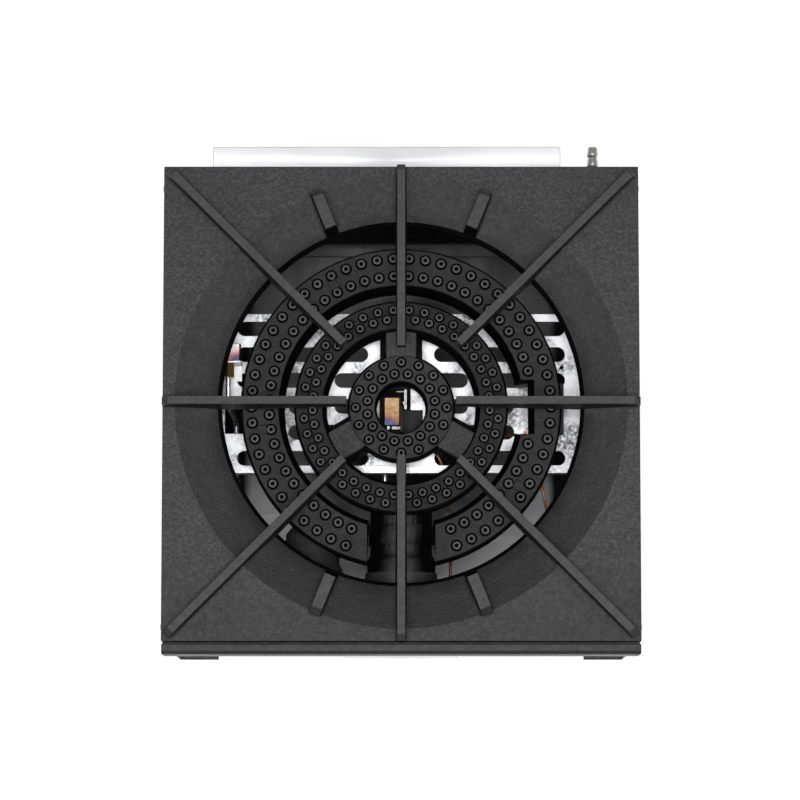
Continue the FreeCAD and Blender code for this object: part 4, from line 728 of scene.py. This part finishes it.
def channel_skin(name, loops):
    """A near-black casing of painted shade round a cast channel below its plate, lofted through loops at
    falling heights.
    """
    bm = bmesh.new()
    rows = []
    for height, loop in loops:
        rows.append([bm.verts.new(Vector((BURNER_X + x, BURNER_Y + y, height)) * MM) for x, y in loop])
    add_loft(bm, rows)
    piece(name, mesh_from(bm, name), "stove", (painted_shade_iron,))


def ring_skin(name, middle, profile, body):
    """The same skin on a whole ring, turned about an upright axis; the profile closes on its first point."""
    bm = bmesh.new()
    add_lathe(bm, profile + profile[:1], middle, 120)
    bmesh.ops.remove_doubles(bm, verts=bm.verts, dist=1e-6)
    piece(name, mesh_from(bm, name), body, (painted_shade_iron,))


def channel_profile(outside, bore, top, flare):
    return [
        (bore, top),
        (outside + CHANNEL_GROW, top),
        (outside + CHANNEL_GROW, CHANNEL_LOW),
        (bore - flare, CHANNEL_LOW),
        (bore - flare, top - CHANNEL_SHOULDER),
    ]


straight = outer_outline(CHANNEL_GROW)
flared = outer_outline(CHANNEL_GROW, flare=5.0)
channel_skin("outer_channel_skin",
             [(CAP_LOW, straight), (CAP_LOW - CHANNEL_SHOULDER, flared), (CHANNEL_LOW, flared)])
burner_axis = at(BURNER_X, BURNER_Y, 0)
middle_profile = channel_profile(MIDDLE_RADIUS, MIDDLE_BORE, CAP_LOW, flare=4.0)
ring_skin("middle_channel_skin", burner_axis, middle_profile, "stove")
centre_profile = channel_profile(CENTRE_RADIUS, CENTRE_BORE, CAP_LOW - CENTRE_DROP, flare=2.0)
ring_skin("centre_channel_skin", burner_axis, centre_profile, "stove")

HOLE_RADIUS = 176.0
HOLE_LIP = 571.6
RIM_INSIDE = HOLE_RADIUS - 3.6
RIM_OUTSIDE = HOLE_RADIUS + 2.0
RIM_LOW = HOLE_LIP - 11.0
grate_axis = Matrix.Translation((GRATE_MIDDLE.x, GRATE_MIDDLE.y, 0))
# A near-black ring inside the hole's rim: painted shade.
rim_profile = [
    (HOLE_RADIUS, HOLE_LIP),
    (RIM_INSIDE, HOLE_LIP - 4.0),
    (RIM_INSIDE, RIM_LOW),
    (RIM_OUTSIDE, RIM_LOW),
    (RIM_OUTSIDE, HOLE_LIP - 1.5),
]
ring_skin("pan_stand_rim_skin", grate_axis, rim_profile, "pan_stand")

STUB_ANGLES = (68.0, 112.0, 248.0, 292.0)
STUB_LOW = 565.0
# Distance from the middle, half width and top of a toe at each of its ends.
STUB_NEAR = (HOLE_RADIUS - 0.2, 6.6, 573.0)
STUB_FAR = (180.4, 5.4, 594.0)


def stub_toes(name):
    """Toes that slope from the short ribs down to the edge of the hole, in near-black iron as painted shade.
    """
    bm = bmesh.new()
    for angle in STUB_ANGLES:
        spot = grate_axis @ Matrix.Rotation(math.radians(angle), 4, "Z")
        rows = []
        for reach, half, high in (STUB_NEAR, STUB_FAR):
            corners = ((-half, STUB_LOW), (half, STUB_LOW), (half, high), (-half, high))
            rows.append([bm.verts.new(spot @ (Vector((reach, y, z)) * MM)) for y, z in corners])
        add_loft(bm, rows)
    piece(name, mesh_from(bm, name), "pan_stand", (painted_shade_iron,))


def centre_pilot_trim(name):
    """Bright clip round the tip of the flame sensor, and the lip below the front edge of the hood."""
    tip = box_face("centre_sensor_tube", 2, True)
    left = box_face("centre_pilot_hood", 0, False)
    right = box_face("centre_pilot_hood", 0, True)
    front = box_face("centre_pilot_hood", 1, False)
    rear = box_face("centre_pilot_hood", 1, True)
    lip = box_face("centre_pilot_hood", 2, True) - 3.0
    bm = bmesh.new()
    add_block(bm, at(right + 4.6, rear - 1.0, tip - 1.5), (2.4, 19.0, 4.0))
    add_block(bm, at(right - 0.5, rear + 6.4, tip - 1.0), (8.0, 0.9, 3.0))
    add_block(bm, at(left + 5.2, front - 2.2, lip), (2.2, 3.4, 1.2))
    add_block(bm, at(right - 4.4, front - 2.2, lip), (8.0, 2.6, 1.2))
    round_edges(bm)
    piece(name, mesh_from(bm, name), "stove", (clip_steel,))


stub_toes("stub_toes")
centre_pilot_trim("centre_pilot_trim")

SHEET_THICK = 1.5
PANEL_SCREW = 4.5
LEG_BOLT = 6.5
WASHER_THICK = 0.8
HEAD_HEIGHT = 2.9
PANEL_SCREW_X = 208
REAR_SCREW_X = 212
FRONT_ROWS = {"control": (462, 532), "lower": (346, 432)}
BODY_ROWS = (276, 410, 545)
SIDE_SCREW_Y = (-226, 200)
BRACKET_SCREW_Y = (-50, 20)
BRACKET_ROW = 518
LEG_PLATE_LOW = 258
LEG_BOLT_REACH = 28


def hex_screws(name, places, direction, size):
    """Hexagon-headed zinc screws on washers."""
    washer = [(0, 0), (size, 0), (size, 0.5), (size * 0.9, WASHER_THICK), (0, WASHER_THICK)]
    head = [(0, WASHER_THICK), (size * 0.68, WASHER_THICK), (size * 0.68, HEAD_HEIGHT - 0.5),
            (size * 0.52, HEAD_HEIGHT), (0, HEAD_HEIGHT)]
    bm = bmesh.new()
    for x, y, z in places:
        spot = facing(x, y, z, direction)
        add_lathe(bm, washer, spot, 20)
        add_lathe(bm, head, spot, 6)
    piece(name, mesh_from(bm, name, 25.0), "stove", (zinc,))


panel_y = box_face("control_panel", 1, True) - SHEET_THICK
for label, heights in FRONT_ROWS.items():
    places = [(x, panel_y, z) for x in (-PANEL_SCREW_X, PANEL_SCREW_X) for z in heights]
    hex_screws(f"{label}_panel_screws", places, (0, -1, 0), PANEL_SCREW)
rear_y = box_face("rear_panel", 1, True)
places = [(x, rear_y, z) for x in (-REAR_SCREW_X, REAR_SCREW_X) for z in BODY_ROWS]
hex_screws("rear_panel_screws", places, (0, 1, 0), PANEL_SCREW)
for label, side in (("left", -1), ("right", 1)):
    x = side * box_face("right_side_panel", 0, True)
    places = [(x, y, z) for y in SIDE_SCREW_Y for z in BODY_ROWS]
    places += [(x, y, BRACKET_ROW) for y in BRACKET_SCREW_Y]
    hex_screws(f"{label}_side_screws", places, (side, 0, 0), PANEL_SCREW)
places = []
for corner in ("front_left", "front_right", "rear_left", "rear_right"):
    low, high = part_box(f"leg_{corner}")
    middle = (low + high) / 2 / MM
    for dx in (-LEG_BOLT_REACH, LEG_BOLT_REACH):
        places += [(middle.x + dx, middle.y + dy, LEG_PLATE_LOW) for dy in (-LEG_BOLT_REACH, LEG_BOLT_REACH)]
hex_screws("leg_bolts", places, (0, 0, -1), LEG_BOLT)

KNOB_X = {"outer": -86.0, "inner": 0.0}
POINTER_SIZE = (2.2, 0.9, 11.0)
POINTER_RISE = 9.5
POINTER_PROUD = 0.15
TICK_COUNT = 7
TICK_PITCH = 15.0
TICK_RADIUS = 24.6
TICK_PROUD = 0.1
TICK_WIDTH = 0.8
TICK_THICK = 0.3
LONG_TICK = 3.2
SHORT_TICK = 1.8


def knob_details(name, x):
    """Pointer line on the knob's grip, and ticks on the dial behind it."""
    knob_y = box_face(f"{name}_knob", 1, False)
    bm = bmesh.new()
    add_block(bm, at(x, knob_y - POINTER_PROUD, KNOB_HEIGHT + POINTER_RISE), POINTER_SIZE)
    round_edges(bm)
    pointer = f"{name}_pointer"
    piece(pointer, mesh_from(bm, pointer), f"{name}_control", (mark_white,))
    dial_y = box_face(f"{name}_dial", 1, False)
    bm = bmesh.new()
    for index in range(TICK_COUNT):
        turn = math.radians(TICK_PITCH * index)
        across, up = TICK_RADIUS * math.sin(turn), TICK_RADIUS * math.cos(turn)
        spot = at(x - across, dial_y - TICK_PROUD, KNOB_HEIGHT + up) @ Matrix.Rotation(-turn, 4, "Y")
        add_block(bm, spot, (TICK_WIDTH, TICK_THICK, SHORT_TICK if index % 3 else LONG_TICK))
    ticks = f"{name}_ticks"
    piece(ticks, mesh_from(bm, ticks), "stove", (dial_ink,))


for name, x in KNOB_X.items():
    knob_details(name, x)

# Floor, light and camera
FLOOR_SIZE = 9.0
FLOOR_GLOW = 0.5
SKY_STRENGTH = 0.3
bm = bmesh.new()
bmesh.ops.create_grid(bm, x_segments=2, y_segments=2, size=FLOOR_SIZE)
floor = bpy.data.objects.new("floor", mesh_from(bm, "floor"))
scene.collection.objects.link(floor)
ground = Surface("pale_floor", specular_ior_level=0.2, roughness=0.7)
ground.set("Base Color", ground.ramp(ground.noise(3, 3), (0.3, (0.9, 0.9, 0.9)), (0.7, (0.93, 0.93, 0.93))))
seen = ground.node("ShaderNodeLightPath")
shown = ground.maths("MAXIMUM", seen.outputs["Is Camera Ray"], seen.outputs["Is Glossy Ray"])
shown = ground.maths("MAXIMUM", shown, seen.outputs["Is Transmission Ray"])
strength = ground.maths("MULTIPLY", shown, FLOOR_GLOW)
glow = ground.node("ShaderNodeEmission", {"Color": (1, 1, 1, 1), "Strength": strength})
both = ground.node("ShaderNodeAddShader", {0: ground.shader.outputs["BSDF"], 1: glow.outputs["Emission"]})
ground.tree.links.new(both.outputs["Shader"], ground.tree.nodes["Material Output"].inputs["Surface"])
floor.data.materials.append(ground.material)

world = bpy.data.worlds.new("studio")
scene.world = world
world.use_nodes = True
sky = world.node_tree.nodes["Background"]
sky.inputs["Color"].default_value = (1.0, 1.0, 1.0, 1.0)
sky.inputs["Strength"].default_value = SKY_STRENGTH


def area_light(name, place, target, size, power):
    lamp = bpy.data.lights.new(name, "AREA")
    lamp.shape = "RECTANGLE"
    lamp.size, lamp.size_y = size
    lamp.energy = power
    holder = bpy.data.objects.new(name, lamp)
    holder.location = place
    holder.rotation_euler = (Vector(target) - Vector(place)).to_track_quat("-Z", "Y").to_euler()
    scene.collection.objects.link(holder)


area_light("overhead", place=(0.0, -0.35, 3.4), target=(0, 0, 0.5), size=(1.5, 1.3), power=62)
area_light("front_fill", place=(-1.4, -2.6, 2.2), target=(0, 0, 0.45), size=(1.8, 1.4), power=17)
area_light("side_fill", place=(2.4, -0.6, 1.8), target=(0, 0, 0.45), size=(1.4, 1.4), power=10)

FRAME_PIXELS = 800
PIXELS_PER_MM = 1.05
PHOTO_CENTRE = (401.2, 399.8)
DISTANCE = 3.6
TILT = math.radians(6.7)
STAND_Y = -12.75
target = Vector((0.0, STAND_Y * MM, GRATE_TOP))
offset = (FRAME_PIXELS / 2 - PHOTO_CENTRE[0], PHOTO_CENTRE[1] - FRAME_PIXELS / 2)
aim = target + Vector((offset[0], offset[1], 0)) / PIXELS_PER_MM * MM
lens = bpy.data.cameras.new("camera")
lens.sensor_width = 36.0
frame_width = FRAME_PIXELS / PIXELS_PER_MM * MM
lens.lens = lens.sensor_width * DISTANCE / frame_width
camera = bpy.data.objects.new("camera", lens)
camera.location = aim + Vector((0, -math.sin(TILT), math.cos(TILT))) * DISTANCE
camera.rotation_euler = (TILT, 0, 0)
scene.collection.objects.link(camera)
scene.camera = camera
